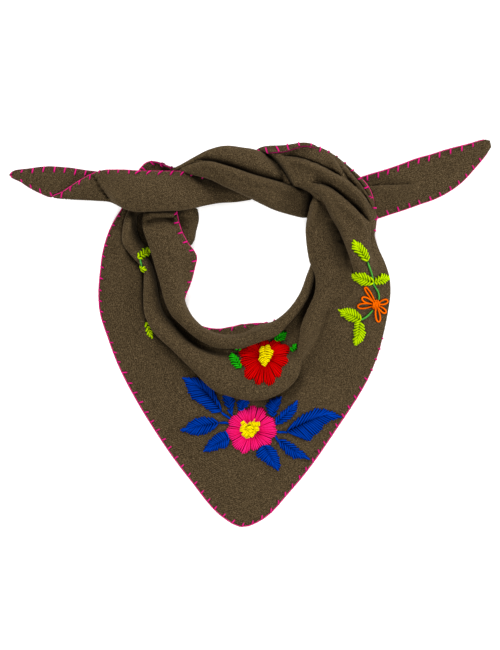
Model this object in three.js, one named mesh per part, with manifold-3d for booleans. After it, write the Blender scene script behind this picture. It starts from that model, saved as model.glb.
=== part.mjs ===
// A triangular felted-wool scarf, tied in a half knot and laid flat, with a
// stitched bunch of flowers on its front panel. Millimetres, +Z up, the table
// at z = 0, +Y towards the knot, the front point of the triangle at -Y.
import * as THREE from 'three';
import Module from 'manifold-3d';

const wasm = await Module();
wasm.setup();

// Driving dimensions
const CLOTH_THICKNESS = 2.2;
const THREAD_RISE = 1.3;
const SEAT_GAP = 0.3;
const COLUMNS = 23;
const CENTRE_X = 0.36;
const CENTRE_Y = 1.83;
const TABLE_Z = 0.2;

// Colours, sRGB
const WOOL = 0x5a4a33;
const PINK = 0xf0208a;
const BLUE = 0x0a3aa8;
const RED = 0xe00a00;
const YELLOW = 0xffd800;
const GREEN = 0x12a012;
const LIME = 0xb5e000;
const STEM = 0x3f9a3a;
const ORANGE = 0xff6a00;

function table(names, rows) {
  const keys = names.split(' ');
  return rows.map((row) => Object.fromEntries(keys.map((key, i) => [key, row[i]])));
}

// The strand is one sheet, from the left tail's tip to the right tail's tip.
// Each row of a table is a section across it, from the neck hem (column 0) to
// the outer hem (column 22). Sections with a start a and an end b measure
// their folds as distances from a towards b.

// Left tail and the wrap over the left shoulder: folded in two lengthwise.
const TAIL_LEFT = table('x back fold flap low high', [
  [-240.5, 160.5, 159.5, 159.5, 3, 3],
  [-236, 163.3, 157, 157, 3, 3.5],
  [-230, 164.5, 154.5, 154.5, 3, 4],
  [-222, 165.3, 149, 149, 3, 5],
  [-210, 167, 142.7, 142.7, 3, 6],
  [-200, 167.6, 138.6, 138.8, 4, 7],
  [-190, 167, 136.8, 141, 4, 9],
  [-180, 166, 136, 147, 5, 11],
  [-170, 164.5, 135.6, 153.5, 5, 13],
  [-160, 163, 135.2, 159, 6, 15],
  [-150, 162, 134.6, 162.8, 7, 17],
  [-143, 161.5, 134, 164, 8, 19],
  [-138, 161.3, 133, 164, 10, 24],
  [-132, 161, 130, 163.9, 12, 30],
  [-125, 161, 126.3, 163.7, 13, 33],
  [-115, 161, 123.6, 163, 14, 35],
  [-100, 161, 123.6, 162.5, 14, 36],
  [-85, 161, 124.2, 162.5, 14, 35],
  [-70, 160, 124.8, 162.3, 13, 32],
  [-57, 159, 127, 161.2, 10, 26],
  [-45, 157, 129.8, 159.2, 7, 20],
  [-30, 153, 132.6, 156, 4, 13],
  [-15, 150, 133.6, 153, 2.5, 10],
  [0, 150, 135.8, 154, 2, 9],
]);

// Right side, from under the middle of the knot down to the lower right.
// v1, l2 and l3 are the near edges of the pleats, w1, w2 and w3 their tucks.
const SHOULDER = table(
  'ax ay bx by hem0 jIn jOut val deep kIn v1 w1 l2 w2 l3 w3 p1 base zJ zK zV1 zG1 zG3 zOut hem zHem flat',
  [
    [26, 152, 24, 183, 26, 18, 11, 6, 3, 0, 1, 0, 4, 1, 24, 4, 28, 2, 5, 6, 8, 9, 12, 12, 31, 11, 1],
    [46, 148, 55, 190.5, 32, 24, 14, 8, 4, 0, 1, 0, 3, 2, 26, 6, 33, 8, 11, 14, 18, 23, 24, 21, 42, 19, 1],
    [61, 143, 76, 186, 36, 27, 16, 8, 4, 0, 1.5, 0.5, 9, 6, 25, 7, 35, 14.5, 15, 20, 22, 29, 28, 22, 43, 17, 1],
    [63, 139, 97, 170, 38, 29, 17, 9, 4, 0, 3, 1, 14, 8, 27, 7, 37, 15, 16, 22, 23, 33, 30, 20, 46, 14, 1],
    [61, 130, 114, 152, 38, 28, 16, 9, 6, 0, 13, 4, 29, 9, 42, 7, 51, 15, 14, 25, 21, 34, 29, 15, 57.5, 11, 1],
    [58, 118, 124, 125, 36, 22, 14, 10, 16, 0, 25, 7, 50.5, 9, 60, 6, 64, 9, 13, 24, 17, 33, 25, 12, 67, 9, 0.8],
    [56.5, 102, 123, 102, 34, 3, 8, 12, 34, 0, 34, 8, 60, 5, 63, 3, 65, 2, 7.5, 23, 10, 31, 18, 9, 67.5, 5, 0],
    [58, 86, 127.5, 86, 36, 3, 8, 12, 36, 0, 39, 7, 58, 1, 62, 0, 67, 1.4, 7.2, 22, 9, 29, 15, 8, 63, 2.5, 0],
    [60.5, 73, 133.5, 73, 38, 1.5, 8, 12, 38, 0, 41, 4, 58, 0, 65, 0, 70, 1.4, 8, 21, 11, 27, 14, 7, 62, 1.4, 0],
    [57.5, 59, 138, 60, 34, 0, 6, 10, 42, 8.5, 45, 1, 62, 0, 70, 0, 76, 1.4, 13, 20, 18, 24, 13, 6.5, 68, 1.3, 0],
    [51, 42, 139.5, 44, 30, 0, 8, 12, 46, 14.5, 46, 0, 66, 0, 75, 0, 83, 1.4, 14, 20, 19, 21, 13, 6, 77, 1.3, 0],
    [40, 26, 137, 24, 24, 0, 10, 15, 44, 18.5, 42, 0, 66, 0, 79, 0, 90, 1.4, 15, 20, 15.5, 18, 12, 5, 90, 1.3, 0],
    [24, 13, 130, -8, 2, 0, 13, 20, 48, 28, 48, 0, 76, 0, 90, 0, 101, 1.4, 16, 20, 12, 14, 10, 3, 108, 1.3, 0],
    [12, 9, 120, -36, -6, 0, 18, 27, 54, 40.5, 54, 0, 82, 0, 97, 0, 109, 1.4, 17, 19, 9, 9, 6, 2, 117, 1.3, 0],
  ],
);

// The swag: lower right, bottom, left side and left shoulder. Collar roll (J),
// valley, cowl fold (K) with its deep tuck, then the front panel, whose hem
// band lies flat on the table.
const SWAG = table('ax ay bx by hem zHem lip zIn zJ jOut back val zV kOut ridge zK tuck zD flat', [
  [0, 4, 88, -90, -8, 1.6, 0, 9, 18, 14, 5, 19, 6, 66, 58, 16, 14, 4, 0],
  [-4, 2, 40, -155, -8.5, 1.6, 0, 9, 18, 12.5, 4.5, 17, 6, 68, 58, 18, 30, 5, 0],
  [-6, 1, 13, -183, -9, 1.6, 0, 9, 18, 12.5, 4.5, 16, 6, 66, 56, 18, 40, 4.5, 0],
  [-8, 0.5, -8, -191, -9.5, 1.6, 0, 9, 18, 13, 4.5, 16, 6, 64, 54, 18, 42, 4.5, 0],
  [-11, 0, -28, -180.5, -9.5, 1.6, 0, 9, 18, 13, 4.5, 16, 6, 61.5, 51, 18, 40, 4.5, 0],
  [-16, -0.5, -60, -143, -9.5, 1.6, 0, 9, 18, 13, 4.5, 17, 6, 58, 48, 18, 38, 5, 0],
  [-27, -0.5, -100, -86, -10, 1.6, 0, 9, 19, 14, 4.5, 20, 6, 45, 37, 18, 26, 5, 0],
  [-40, 3.5, -127, -38, -5, 1.6, 3, 9, 20, 14, 4.5, 22, 6, 41, 33, 18, 24, 5, 0],
  [-52, 11.5, -142, 0, 2, 1.8, 5, 9, 21, 15, 4.5, 22, 6, 45.5, 35, 18, 26, 6, 0],
  [-60, 21, -148.5, 20, 4, 3, 6, 10, 22, 18, 6, 25, 6, 44, 35, 17, 24, 7, 0],
  [-66, 36, -150.5, 38, 0, 5, 2, 12, 23, 19, 8, 25, 6, 39.5, 31, 17, 20, 7.5, 0],
  [-66, 52, -150, 52, -6, 9, -3, 15, 24, 23, 8, 27, 6, 39, 33, 17, 18, 8, 0],
  [-67, 67, -148.5, 67, -11, 12, -5, 18, 25, 26.5, 8, 30, 6, 39.5, 35, 17, 16, 8, 0],
  [-67, 79, -147, 79, -13, 15, -7, 20, 25, 30, 6, 35, 6.5, 50, 42, 16.5, 18, 8, 0],
  [-70, 92, -144, 92, -7, 18, -4, 21, 25, 31.5, -12, 36.5, 6.5, 56, 48, 17, 20, 8, 0],
  [-75, 105, -139.5, 105, -5.5, 20, -3, 22, 25, 31, -20.5, 37, 6, 51, 45, 17, 16, 8, 0],
  [-77, 116, -134, 116, -4.5, 18, -2, 18, 20, 30, -25, 35, 5.5, 47, 42, 15, 12, 6, 0],
  [-78, 127, -127, 127, -4, 11, -2, 11, 11, 27, -28, 31, 5, 43, 38, 8, 10, 3, 0.1],
  [-72, 140, -118, 152, -8, 7, -4, 8, 8, 22, -22, 26, 4, 36, 32, 7, 8, 3, 0.6],
  [-62, 150, -98, 173.5, -10, 6, -4, 7, 8, 16, -12, 20, 4, 30, 26, 7, 6, 3, 1],
]);

// The strand that crosses over the middle of the knot: two rolls side by side.
const CROSSING = table('ax ay bx by crease base zLow zUp flat', [
  [-66, 162.5, -80, 168, 5, 8, 20, 17, 0.9],
  [-55, 161.3, -61, 174.5, 10, 14, 29, 25, 0.2],
  [-45, 158, -48, 180, 14, 20, 33, 30, 0],
  [-30, 151, -30, 187, 19, 17, 36, 32, 0],
  [-12, 143, -6, 185.5, 21.5, 15, 36, 32, 0],
  [5, 135, 13, 180.5, 24, 14, 35, 30, 0],
  [21, 127, 32, 166, 27.5, 13, 30, 25, 0],
  [39, 121.3, 45, 150, 28, 7, 21, 17.5, 0],
  [58, 117.5, 64, 144, 26, 1.4, 13, 10.5, 0],
  [80, 115, 84, 148, 27, 1.4, 9, 8, 0.6],
  [94, 115, 94, 150, 27, 1.4, 7, 7, 1],
]);

// The right tail, with a crease that opens out into it.
const TAIL_RIGHT = table('ax ay bx by crease pleat low high', [
  [106, 116, 100, 152, 28, 5, 1.4, 6],
  [116, 116.5, 108, 155.5, 29, 6, 1.4, 7],
  [125, 117, 114.5, 158, 30, 6, 1.6, 9],
  [140, 121.5, 136, 164.5, 27, 5, 1.8, 9],
  [155, 126.3, 152, 170, 22, 2.5, 2, 8.5],
  [168, 131, 165, 175, 19, 0.4, 2, 8],
  [185, 137, 182, 179.8, 16, 0, 2, 8],
  [200, 145, 195, 184, 14, 0, 2, 7.5],
  [213, 155, 208, 187.5, 12, 0, 2, 7],
  [223, 166, 218, 190, 9, 0, 2, 6],
  [232, 176.5, 228, 193, 6, 0, 2, 5],
  [237, 183, 234, 194.6, 4, 0, 2, 4],
  [240.5, 188.5, 239, 194.5, 2, 0, 2, 3],
]);

const lerp = (a, b, s) => a + (b - a) * s;
const clamp = (v, lo, hi) => Math.min(hi, Math.max(lo, v));

// Cubic curve through points of any dimension, at given parameters.
function spline(xs, points, queries) {
  const n = xs.length;
  const size = points[0].length;
  const slope = (i, c) => (points[i + 1][c] - points[i][c]) / (xs[i + 1] - xs[i]);
  const tangent = (i, c) => {
    if (i === 0) return slope(0, c);
    if (i === n - 1) return slope(n - 2, c);
    const before = xs[i] - xs[i - 1];
    const after = xs[i + 1] - xs[i];
    return (after * slope(i - 1, c) + before * slope(i, c)) / (before + after);
  };
  return queries.map((x) => {
    let k = 0;
    while (k < n - 2 && x >= xs[k + 1]) k += 1;
    const h = xs[k + 1] - xs[k];
    const t = (x - xs[k]) / h;
    const t2 = t * t;
    const t3 = t2 * t;
    const out = [];
    for (let c = 0; c < size; c += 1) {
      out.push(
        points[k][c] * (2 * t3 - 3 * t2 + 1) + points[k + 1][c] * (3 * t2 - 2 * t3)
        + tangent(k, c) * h * (t3 - 2 * t2 + t) + tangent(k + 1, c) * h * (t3 - t2),
      );
    }
    return out;
  });
}

// n points evenly spread along a two-dimensional path.
function spread(path, n) {
  const along = [0];
  for (let i = 1; i < path.length; i += 1) {
    const step = Math.hypot(path[i][0] - path[i - 1][0], path[i][1] - path[i - 1][1]);
    along.push(along[i - 1] + step);
  }
  const out = [];
  let k = 0;
  for (let i = 0; i < n; i += 1) {
    const s = (along[along.length - 1] * i) / (n - 1);
    while (k < path.length - 2 && s > along[k + 1]) k += 1;
    const f = clamp((s - along[k]) / Math.max(1e-9, along[k + 1] - along[k]), 0, 1);
    out.push([lerp(path[k][0], path[k + 1][0], f), lerp(path[k][1], path[k + 1][1], f)]);
  }
  return out;
}

// Distances and heights along a section become points in space.
function place(row, profile) {
  const length = Math.hypot(row.bx - row.ax, row.by - row.ay);
  const dx = (row.bx - row.ax) / length;
  const dy = (row.by - row.ay) / length;
  return profile.map(([t, z]) => [row.ax + dx * t, row.ay + dy * t, z]);
}

// Lets a folded profile open out into a single flat layer from t0 to t1.
function flattened(profile, share, t0, t1, z0, z1) {
  return profile.map(([t, z], j) => {
    const s = j / (profile.length - 1);
    return [lerp(t, lerp(t0, t1, s), share), lerp(z, lerp(z0, z1, s), share)];
  });
}

const reach = (row) => Math.hypot(row.bx - row.ax, row.by - row.ay);

function tailLeftSection(row) {
  const { x, back, fold, flap, low, high } = row;
  const turned = Math.min(1, Math.max(0, flap - fold) / 12);
  const path = [];
  for (let i = 0; i <= 14; i += 1) {
    const s = i / 14;
    const bulge = Math.sin(Math.PI * s);
    const lift = (high - low) * (1 - turned) * bulge * 0.6 - turned * bulge;
    path.push([back + (fold + 2.2 * turned - back) * s, low + lift]);
  }
  if (flap - fold > 0.4) {
    const rise = Math.max((high - low) * turned, 2.7 * Math.min(1, turned * 4));
    path.push([fold + 0.5 * turned, low + rise * 0.25]);
    path.push([fold, low + rise * 0.5]);
    path.push([fold + turned, low + rise * 0.75]);
    for (let i = 0; i <= 14; i += 1) {
      const s = i / 14;
      const crown = 1 - 0.35 * (2 * s - 0.75) ** 2;
      const y = fold + 3 * turned + (flap - fold - 3 * turned) * s;
      const apart = Math.max((high - low) * turned * crown - 2 * turned * s * s, 2.7 * Math.min(1, turned * 4));
      path.push([y, low + apart]);
    }
  }
  return spread(path, COLUMNS).map(([y, z]) => [x, y, z]);
}

function shoulderSection(r) {
  const length = reach(r);
  const f2 = Math.min(1, r.w2 / 6);
  const f3 = Math.min(1, r.w3 / 6);
  const tucked2 = f2 > 0.1;
  const tucked3 = f3 > 0.1;
  const folded = (z) => lerp(z, r.base, r.flat);
  return place(r, [
    [r.hem0, r.hem0 > 0 ? r.base : 1.6],
    [lerp(r.hem0, r.jIn, 0.6), folded(r.base + 0.6)],
    [r.jIn, folded(lerp(r.base, r.zJ, 0.5))],
    [lerp(r.jIn, r.jOut, 0.35), folded(r.zJ)],
    [lerp(r.jIn, r.jOut, 0.8), folded(r.zJ - 0.6)],
    [r.jOut, folded(r.zJ - 3.5)],
    [r.jOut - 2.5, folded(r.base + 4.6)],
    [r.val, folded(r.base + 2.6)],
    [r.deep, folded(r.base + 3.2)],
    [r.kIn, lerp(r.base, r.zK, 0.62)],
    [r.kIn + Math.min(3, r.v1 * 0.25), lerp(r.base, r.zK, 0.88)],
    [lerp(r.kIn, r.v1, 0.5), r.zK],
    [r.v1 + r.w1, r.zV1],
    [r.v1, lerp(r.zV1, r.zG1, 0.5)],
    [lerp(r.v1, r.l2, 0.3), r.zG1],
    [r.l2, f2 > 0 ? r.zG1 - 1.5 - 1.5 * f2 : lerp(r.zG1, r.zG3, 0.35)],
    tucked2 ? [r.l2 - r.w2, r.zG1 - 2.5 - 5 * f2] : [lerp(r.l2, r.l3, 0.3), lerp(r.zG1, r.zG3, 0.6)],
    [lerp(r.l2, r.l3, 0.55), lerp(lerp(r.zG1, r.zG3, 0.8), r.zG3 + 1, f2)],
    [r.l3, r.zG3 - 1],
    tucked3 ? [r.l3 - r.w3, r.zG3 - 2 - 4 * f3] : [lerp(r.l3, r.p1, 0.5), lerp(r.zG3, r.zOut, 0.45)],
    [r.p1, lerp(r.zG3, r.zOut, 0.75)],
    [length, r.hem < length ? (r.zOut + r.zHem) / 2 : r.zOut],
    [r.hem, r.zHem],
  ]);
}

function swagSection(r) {
  const length = reach(r);
  const under = Math.max(4.6, r.zK * 0.38);
  const panel = r.kOut - 1;
  const profile = [
    [r.hem, r.zHem],
    [r.lip, (r.zHem + (r.lip > 0 ? r.zHem : r.zIn)) / 2 + 0.8],
    [0, r.zIn],
    [r.jOut * 0.3, r.zJ],
    [r.jOut * 0.75, r.zJ - 0.8],
    [r.jOut, r.zJ - 5],
    [r.back, r.zV + 3.2],
    [r.val, r.zV],
    [lerp(r.val, r.ridge, 0.5), lerp(r.zV, r.zK, 0.62)],
    [r.ridge, r.zK],
    [r.kOut, lerp(under, r.zK, 0.6)],
    [r.kOut - 3, under],
    [r.kOut - r.tuck, 3.2],
    [panel, 1.4],
  ];
  for (let i = 1; i <= 9; i += 1) {
    const s = i / 9;
    const swell = (r.zD - 1.6) * Math.sin(Math.PI * Math.min(1, s * 1.125) ** 0.85);
    profile.push([lerp(panel, length, s), 1.4 + swell]);
  }
  return place(r, flattened(profile, r.flat, r.hem, length, r.zHem, r.zD));
}

function crossingSection(r) {
  const length = reach(r);
  const c = Math.min(r.crease, length - 1.5);
  const b = r.base;
  const tuck = Math.max(r.zUp - 8, Math.min(b + 6.6, r.zUp - 2));
  const profile = [
    [length * 0.85, b],
    [length * 0.45, b],
    [length * 0.14, b],
    [0.5, lerp(b, r.zLow, 0.3)],
    [0, lerp(b, r.zLow, 0.55)],
    [c * 0.1, lerp(b, r.zLow, 0.82)],
    [c * 0.4, r.zLow],
    [c * 0.75, r.zLow - 0.3],
    [c * 0.95, r.zLow - 1.5],
    [c, lerp(tuck, r.zLow, 0.4)],
    [c - 5, tuck],
    [c + 1, lerp(tuck, r.zUp, 0.3)],
    [lerp(c, length, 0.35), r.zUp - 1],
    [lerp(c, length, 0.65), r.zUp],
    [lerp(c, length, 0.9), r.zUp - 2],
    [length, lerp(b, r.zUp, 0.6)],
    [length - 0.8, lerp(b, r.zUp, 0.42)],
    [length * 0.92, b + 3],
    [length * 0.75, b + 3],
    [length * 0.6, b + 3.1],
    [length * 0.45, b + 3.2],
    [length * 0.3, b + 3.3],
    [length * 0.15, b + 3.4],
  ];
  return place(r, flattened(profile, r.flat, 0, length, lerp(b, r.zLow, 0.5), lerp(b, r.zUp, 0.5)));
}

function tailRightSection(r) {
  const length = reach(r);
  const c = r.crease;
  const f = clamp(r.pleat / 5, 0, 1);
  const p = Math.max(0, r.pleat);
  const path = [];
  for (let i = 0; i <= 8; i += 1) {
    const s = i / 8;
    path.push([c * s, r.low + (r.high - r.low) * Math.sin(Math.PI * 0.5 * Math.min(1, s * 1.15))]);
  }
  const after = lerp(r.high - 1.5, r.low, f);
  const open = Math.min(4, (length - c) * 0.4);
  path.push([c + open * 0.25, lerp(r.high - 0.6, r.high - 2, f)]);
  path.push([c + open * 0.5 - (p + 2) * f, lerp(r.high - 1, r.low + 2, f)]);
  path.push([c + open, after]);
  for (let i = 1; i <= 7; i += 1) {
    const s = i / 7;
    path.push([lerp(c + open, length, s), lerp(after, r.low, s)]);
  }
  return place(r, spread(path, COLUMNS));
}

// Sections between the rows of a table.
function between(rows, count, section, keys) {
  const names = Object.keys(rows[0]);
  const along = [0];
  for (let i = 1; i < rows.length; i += 1) {
    const step = Math.hypot(...keys.map((key) => rows[i][key] - rows[i - 1][key]));
    along.push(along[i - 1] + step);
  }
  const total = along[along.length - 1];
  const queries = Array.from({ length: count }, (_, i) => (total * i) / (count - 1));
  return spline(along, rows.map((row) => names.map((name) => row[name])), queries)
    .map((values) => section(Object.fromEntries(names.map((name, i) => [name, values[i]]))));
}

const keySections = [
  ...between(TAIL_LEFT, 60, tailLeftSection, ['x']),
  ...SHOULDER.map(shoulderSection),
  ...SWAG.map(swagSection),
  ...between(CROSSING, 13, crossingSection, ['ax', 'ay']),
  ...between(TAIL_RIGHT, 36, tailRightSection, ['ax', 'ay']),
];
const FIRST_SHOULDER = 60;
const FIRST_SWAG = FIRST_SHOULDER + SHOULDER.length;
const FIRST_CROSSING = FIRST_SWAG + SWAG.length;
const FIRST_TAIL_RIGHT = FIRST_CROSSING + 13;

// The mean distance between neighbouring sections sets the strand's parameter.
const strand = [0];
for (let i = 1; i < keySections.length; i += 1) {
  const steps = keySections[i].map((p, j) => {
    const q = keySections[i - 1][j];
    return Math.hypot(p[0] - q[0], p[1] - q[1], p[2] - q[2]);
  });
  steps.sort((a, b) => a - b);
  strand.push(strand[i - 1] + steps[(COLUMNS - 1) / 2] + 0.3);
}

// Rows of the sheet: sparse in the tails, every key section in the folds, and
// one more between them where the front panel fans out.
const rowAt = [];
const startRow = {};
for (let i = 0; i < FIRST_SHOULDER; i += 3) rowAt.push(strand[i]);
startRow.shoulder = rowAt.length;
for (let i = FIRST_SHOULDER; i < FIRST_CROSSING; i += 1) {
  if (i === FIRST_SWAG) startRow.swag = rowAt.length;
  if (i === FIRST_CROSSING - 2) startRow.crossing = rowAt.length;
  rowAt.push(strand[i]);
  if (i >= FIRST_SWAG && i < FIRST_SWAG + 7) rowAt.push((strand[i] + strand[i + 1]) / 2);
}
for (let i = FIRST_CROSSING; i < FIRST_TAIL_RIGHT; i += 1) rowAt.push(strand[i]);
for (let i = FIRST_TAIL_RIGHT + 1; i < keySections.length; i += 3) rowAt.push(strand[i]);
rowAt.push(strand[keySections.length - 1]);

const sheet = spline(strand, keySections.map((section) => section.flat()), rowAt).map((flat) => {
  const row = [];
  for (let j = 0; j < COLUMNS; j += 1) {
    row.push(new THREE.Vector3(
      flat[3 * j] - CENTRE_X,
      flat[3 * j + 1] - CENTRE_Y,
      Math.max(flat[3 * j + 2], 1.3) - TABLE_Z,
    ));
  }
  return row;
});

// Unit directions along one row or column, averaged over both neighbours.
function direction(before, here, after) {
  const out = new THREE.Vector3();
  if (before) out.add(new THREE.Vector3().subVectors(here, before).normalize());
  if (after) out.add(new THREE.Vector3().subVectors(after, here).normalize());
  return out.normalize();
}

const normals = sheet.map((row, i) => row.map((point, j) => {
  const along = direction(sheet[i - 1]?.[j], point, sheet[i + 1]?.[j]);
  const across = direction(row[j - 1], point, row[j + 1]);
  const normal = new THREE.Vector3().crossVectors(along, across);
  if (normal.length() < 0.05) normal.set(0, 0, 1);
  return normal.normalize();
}));

function solidFrom(positions, triangles) {
  return new wasm.Manifold(new wasm.Mesh({
    numProp: 3,
    vertProperties: new Float32Array(positions),
    triVerts: new Uint32Array(triangles),
  }));
}

// A closed grid: a top and a bottom skin of the same rows and columns.
function slab(top, bottom) {
  const rows = top.length;
  const cols = top[0].length;
  const positions = [];
  [...top.flat(), ...bottom.flat()].forEach((p) => positions.push(p.x, p.y, p.z));
  const up = (i, j) => i * cols + j;
  const down = (i, j) => rows * cols + i * cols + j;
  const triangles = [];
  const quad = (a, b, c, d) => triangles.push(a, b, c, a, c, d);
  for (let i = 0; i < rows - 1; i += 1) {
    for (let j = 0; j < cols - 1; j += 1) {
      quad(up(i, j), up(i + 1, j), up(i + 1, j + 1), up(i, j + 1));
      quad(down(i, j), down(i, j + 1), down(i + 1, j + 1), down(i + 1, j));
    }
    quad(up(i, 0), down(i, 0), down(i + 1, 0), up(i + 1, 0));
    quad(up(i, cols - 1), up(i + 1, cols - 1), down(i + 1, cols - 1), down(i, cols - 1));
  }
  for (let j = 0; j < cols - 1; j += 1) {
    quad(up(0, j), up(0, j + 1), down(0, j + 1), down(0, j));
    quad(up(rows - 1, j), down(rows - 1, j), down(rows - 1, j + 1), up(rows - 1, j + 1));
  }
  return solidFrom(positions, triangles);
}

// The sheet as a solid, joined from small pieces so that layers that touch
// in the folds become one body. Each region uses the columns that its folds
// need, and runs a little way into the next one.
const ALTERNATE = [0, 2, 4, 6, 8, 10, 12, 14, 16, 18, 20, 22];
const SWAG_COLUMNS = [0, 1, 2, 3, 5, 6, 7, 8, 9, 10, 11, 12, 13, 15, 18, 21, 22];
const ALL_COLUMNS = Array.from({ length: COLUMNS }, (_, j) => j);
const REGIONS = [
  { from: 0, to: startRow.shoulder, columns: ALTERNATE },
  { from: startRow.shoulder, to: startRow.swag, columns: ALL_COLUMNS },
  { from: startRow.swag, to: startRow.crossing, columns: SWAG_COLUMNS },
  { from: startRow.crossing, to: sheet.length - 1, columns: ALTERNATE },
];

function clothSolid(half) {
  const skin = (i, j, side) => sheet[i][j].clone().addScaledVector(normals[i][j], side * half);
  const pieces = [];
  const piece = 8;
  REGIONS.forEach(({ from, to, columns }) => {
    const line = (i, j, side) => {
      const here = skin(i, j, side);
      if (i === to && to < sheet.length - 1) here.lerp(skin(i + 1, j, side), 0.05);
      return here;
    };
    for (let i0 = from; i0 < to; i0 += piece) {
      const i1 = Math.min(i0 + piece, to);
      for (let k = 0; k < columns.length - 1; k += 1) {
        const top = [];
        const bottom = [];
        for (let i = i0; i <= i1; i += 1) {
          top.push([line(i, columns[k], 1), line(i, columns[k + 1], 1)]);
          bottom.push([line(i, columns[k], -1), line(i, columns[k + 1], -1)]);
        }
        pieces.push(slab(top, bottom));
      }
    }
  });
  let round = pieces;
  while (round.length > 1) {
    const next = [];
    for (let i = 0; i < round.length; i += 2) {
      next.push(i + 1 < round.length ? round[i].add(round[i + 1]) : round[i]);
    }
    round = next;
  }
  return round[0];
}

// Merges the ends of edges shorter than a limit, where the surface stays
// closed and no face turns over.
function withoutShortEdges(points, faces, limit) {
  const around = points.map(() => new Set());
  faces.forEach((face, f) => face.forEach((v) => around[v].add(f)));
  const alive = faces.map(() => true);
  const normalOf = (face, moved, to) => {
    const [a, b, c] = face.map((v) => (moved.includes(v) ? to : points[v]));
    const ab = new THREE.Vector3().subVectors(b, a);
    return ab.cross(new THREE.Vector3().subVectors(c, a));
  };
  const tryCollapse = (u, v) => {
    const linked = (w) => new Set([...around[w]].flatMap((f) => faces[f]));
    const shared = [...linked(u)].filter((w) => w !== u && w !== v && linked(v).has(w));
    if (shared.length !== 2) return false;
    const middle = points[u].clone().lerp(points[v], 0.5);
    const kept = [...around[u], ...around[v]].filter((f) => !(around[u].has(f) && around[v].has(f)));
    const turns = kept.some((f) => {
      const before = normalOf(faces[f], [], null);
      const after = normalOf(faces[f], [u, v], middle);
      return after.length() < 1e-4 || before.dot(after) < 0.3 * before.length() * after.length();
    });
    if (turns) return false;
    [...around[u]].filter((f) => around[v].has(f)).forEach((f) => {
      alive[f] = false;
      faces[f].forEach((w) => around[w].delete(f));
    });
    around[v].forEach((f) => {
      faces[f] = faces[f].map((w) => (w === v ? u : w));
      around[u].add(f);
    });
    around[v].clear();
    points[u].copy(middle);
    return true;
  };
  for (let pass = 0; pass < 5; pass += 1) {
    let changed = 0;
    for (let f = 0; f < faces.length; f += 1) {
      for (let k = 0; k < 3 && alive[f]; k += 1) {
        const u = faces[f][k];
        const v = faces[f][(k + 1) % 3];
        if (points[u].distanceTo(points[v]) < limit && tryCollapse(u, v)) changed += 1;
      }
    }
    if (!changed) break;
  }
  return faces.filter((_, f) => alive[f]);
}

// Draws apart the parts of the surface that only touch at a point or an edge.
function drawApart(points, faces) {
  const normal = points.map(() => new THREE.Vector3());
  faces.forEach(([a, b, c]) => {
    const ab = new THREE.Vector3().subVectors(points[b], points[a]);
    const face = ab.cross(new THREE.Vector3().subVectors(points[c], points[a]));
    [a, b, c].forEach((v) => normal[v].add(face));
  });
  const at = new Map();
  points.forEach((p, v) => {
    const key = [p.x, p.y, p.z].map((c) => c.toFixed(3)).join();
    if (!at.has(key)) at.set(key, []);
    if (normal[v].length() > 0) at.get(key).push(v);
  });
  at.forEach((same) => {
    if (same.length > 1) {
      same.forEach((v, k) => points[v].addScaledVector(normal[v].normalize(), -0.02 - 0.01 * k));
    }
  });
}

// The largest outer shell, with its slivers taken out.
function mainBody(solid, limit = 0.5) {
  let body = solid;
  for (let turn = 0; turn < 4; turn += 1) {
    const mesh = body.getMesh();
    const points = [];
    for (let i = 0; i < mesh.vertProperties.length; i += 3) {
      points.push(new THREE.Vector3().fromArray(mesh.vertProperties, i));
    }
    let faces = [];
    for (let i = 0; i < mesh.triVerts.length; i += 3) faces.push([...mesh.triVerts.slice(i, i + 3)]);
    faces = withoutShortEdges(points, faces, limit);
    drawApart(points, faces);
    const used = [...new Set(faces.flat())];
    const index = new Map(used.map((v, k) => [v, k]));
    const flat = used.flatMap((v) => [points[v].x, points[v].y, points[v].z]);
    const shells = solidFrom(flat, faces.flat().map((v) => index.get(v))).decompose();
    body = shells.reduce((a, b) => (b.volume() > a.volume() ? b : a));
  }
  return body;
}

const group = new THREE.Group();

function geometryOf(solid) {
  const mesh = solid.getMesh();
  const geometry = new THREE.BufferGeometry();
  geometry.setAttribute('position', new THREE.BufferAttribute(new Float32Array(mesh.vertProperties), 3));
  geometry.setIndex(new THREE.BufferAttribute(new Uint32Array(mesh.triVerts), 1));
  return geometry;
}

function addPiece(name, solid, color, roughness) {
  const material = new THREE.MeshStandardMaterial({ color, roughness, metalness: 0 });
  const geometry = geometryOf(solid);
  geometry.computeVertexNormals();
  const mesh = new THREE.Mesh(geometry, material);
  mesh.name = name;
  group.add(mesh);
}

addPiece('scarf_cloth', mainBody(clothSolid(CLOTH_THICKNESS / 2)), WOOL, 0.95);

// The stitched bunch stands on the cloth a seat gap above it. Each layer of
// cloth that carries stitches is a surface to drop points onto.
const clearCloth = clothSolid(CLOTH_THICKNESS / 2 + SEAT_GAP);

function layer(firstRow, lastRow, firstColumn, lastColumn) {
  const positions = [];
  const skin = (i, j) => sheet[i][j].clone().addScaledVector(normals[i][j], CLOTH_THICKNESS / 2);
  for (let i = firstRow; i < lastRow; i += 1) {
    for (let j = firstColumn; j < lastColumn; j += 1) {
      const [a, b, c, d] = [skin(i, j), skin(i + 1, j), skin(i + 1, j + 1), skin(i, j + 1)];
      [a, b, c, a, c, d].forEach((p) => positions.push(p.x, p.y, p.z));
    }
  }
  const geometry = new THREE.BufferGeometry();
  geometry.setAttribute('position', new THREE.BufferAttribute(new Float32Array(positions), 3));
  return new THREE.Mesh(geometry, new THREE.MeshBasicMaterial({ side: THREE.DoubleSide }));
}

const PANEL = layer(startRow.swag - 6, startRow.crossing - 2, 13, 22);
const POCKET = layer(startRow.swag - 3, startRow.crossing - 2, 6, 10);
const RIGHT_SIDE = layer(startRow.shoulder + 5, startRow.swag + 2, 12, 21);
const DOWN = new THREE.Vector3(0, 0, -1);

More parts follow.
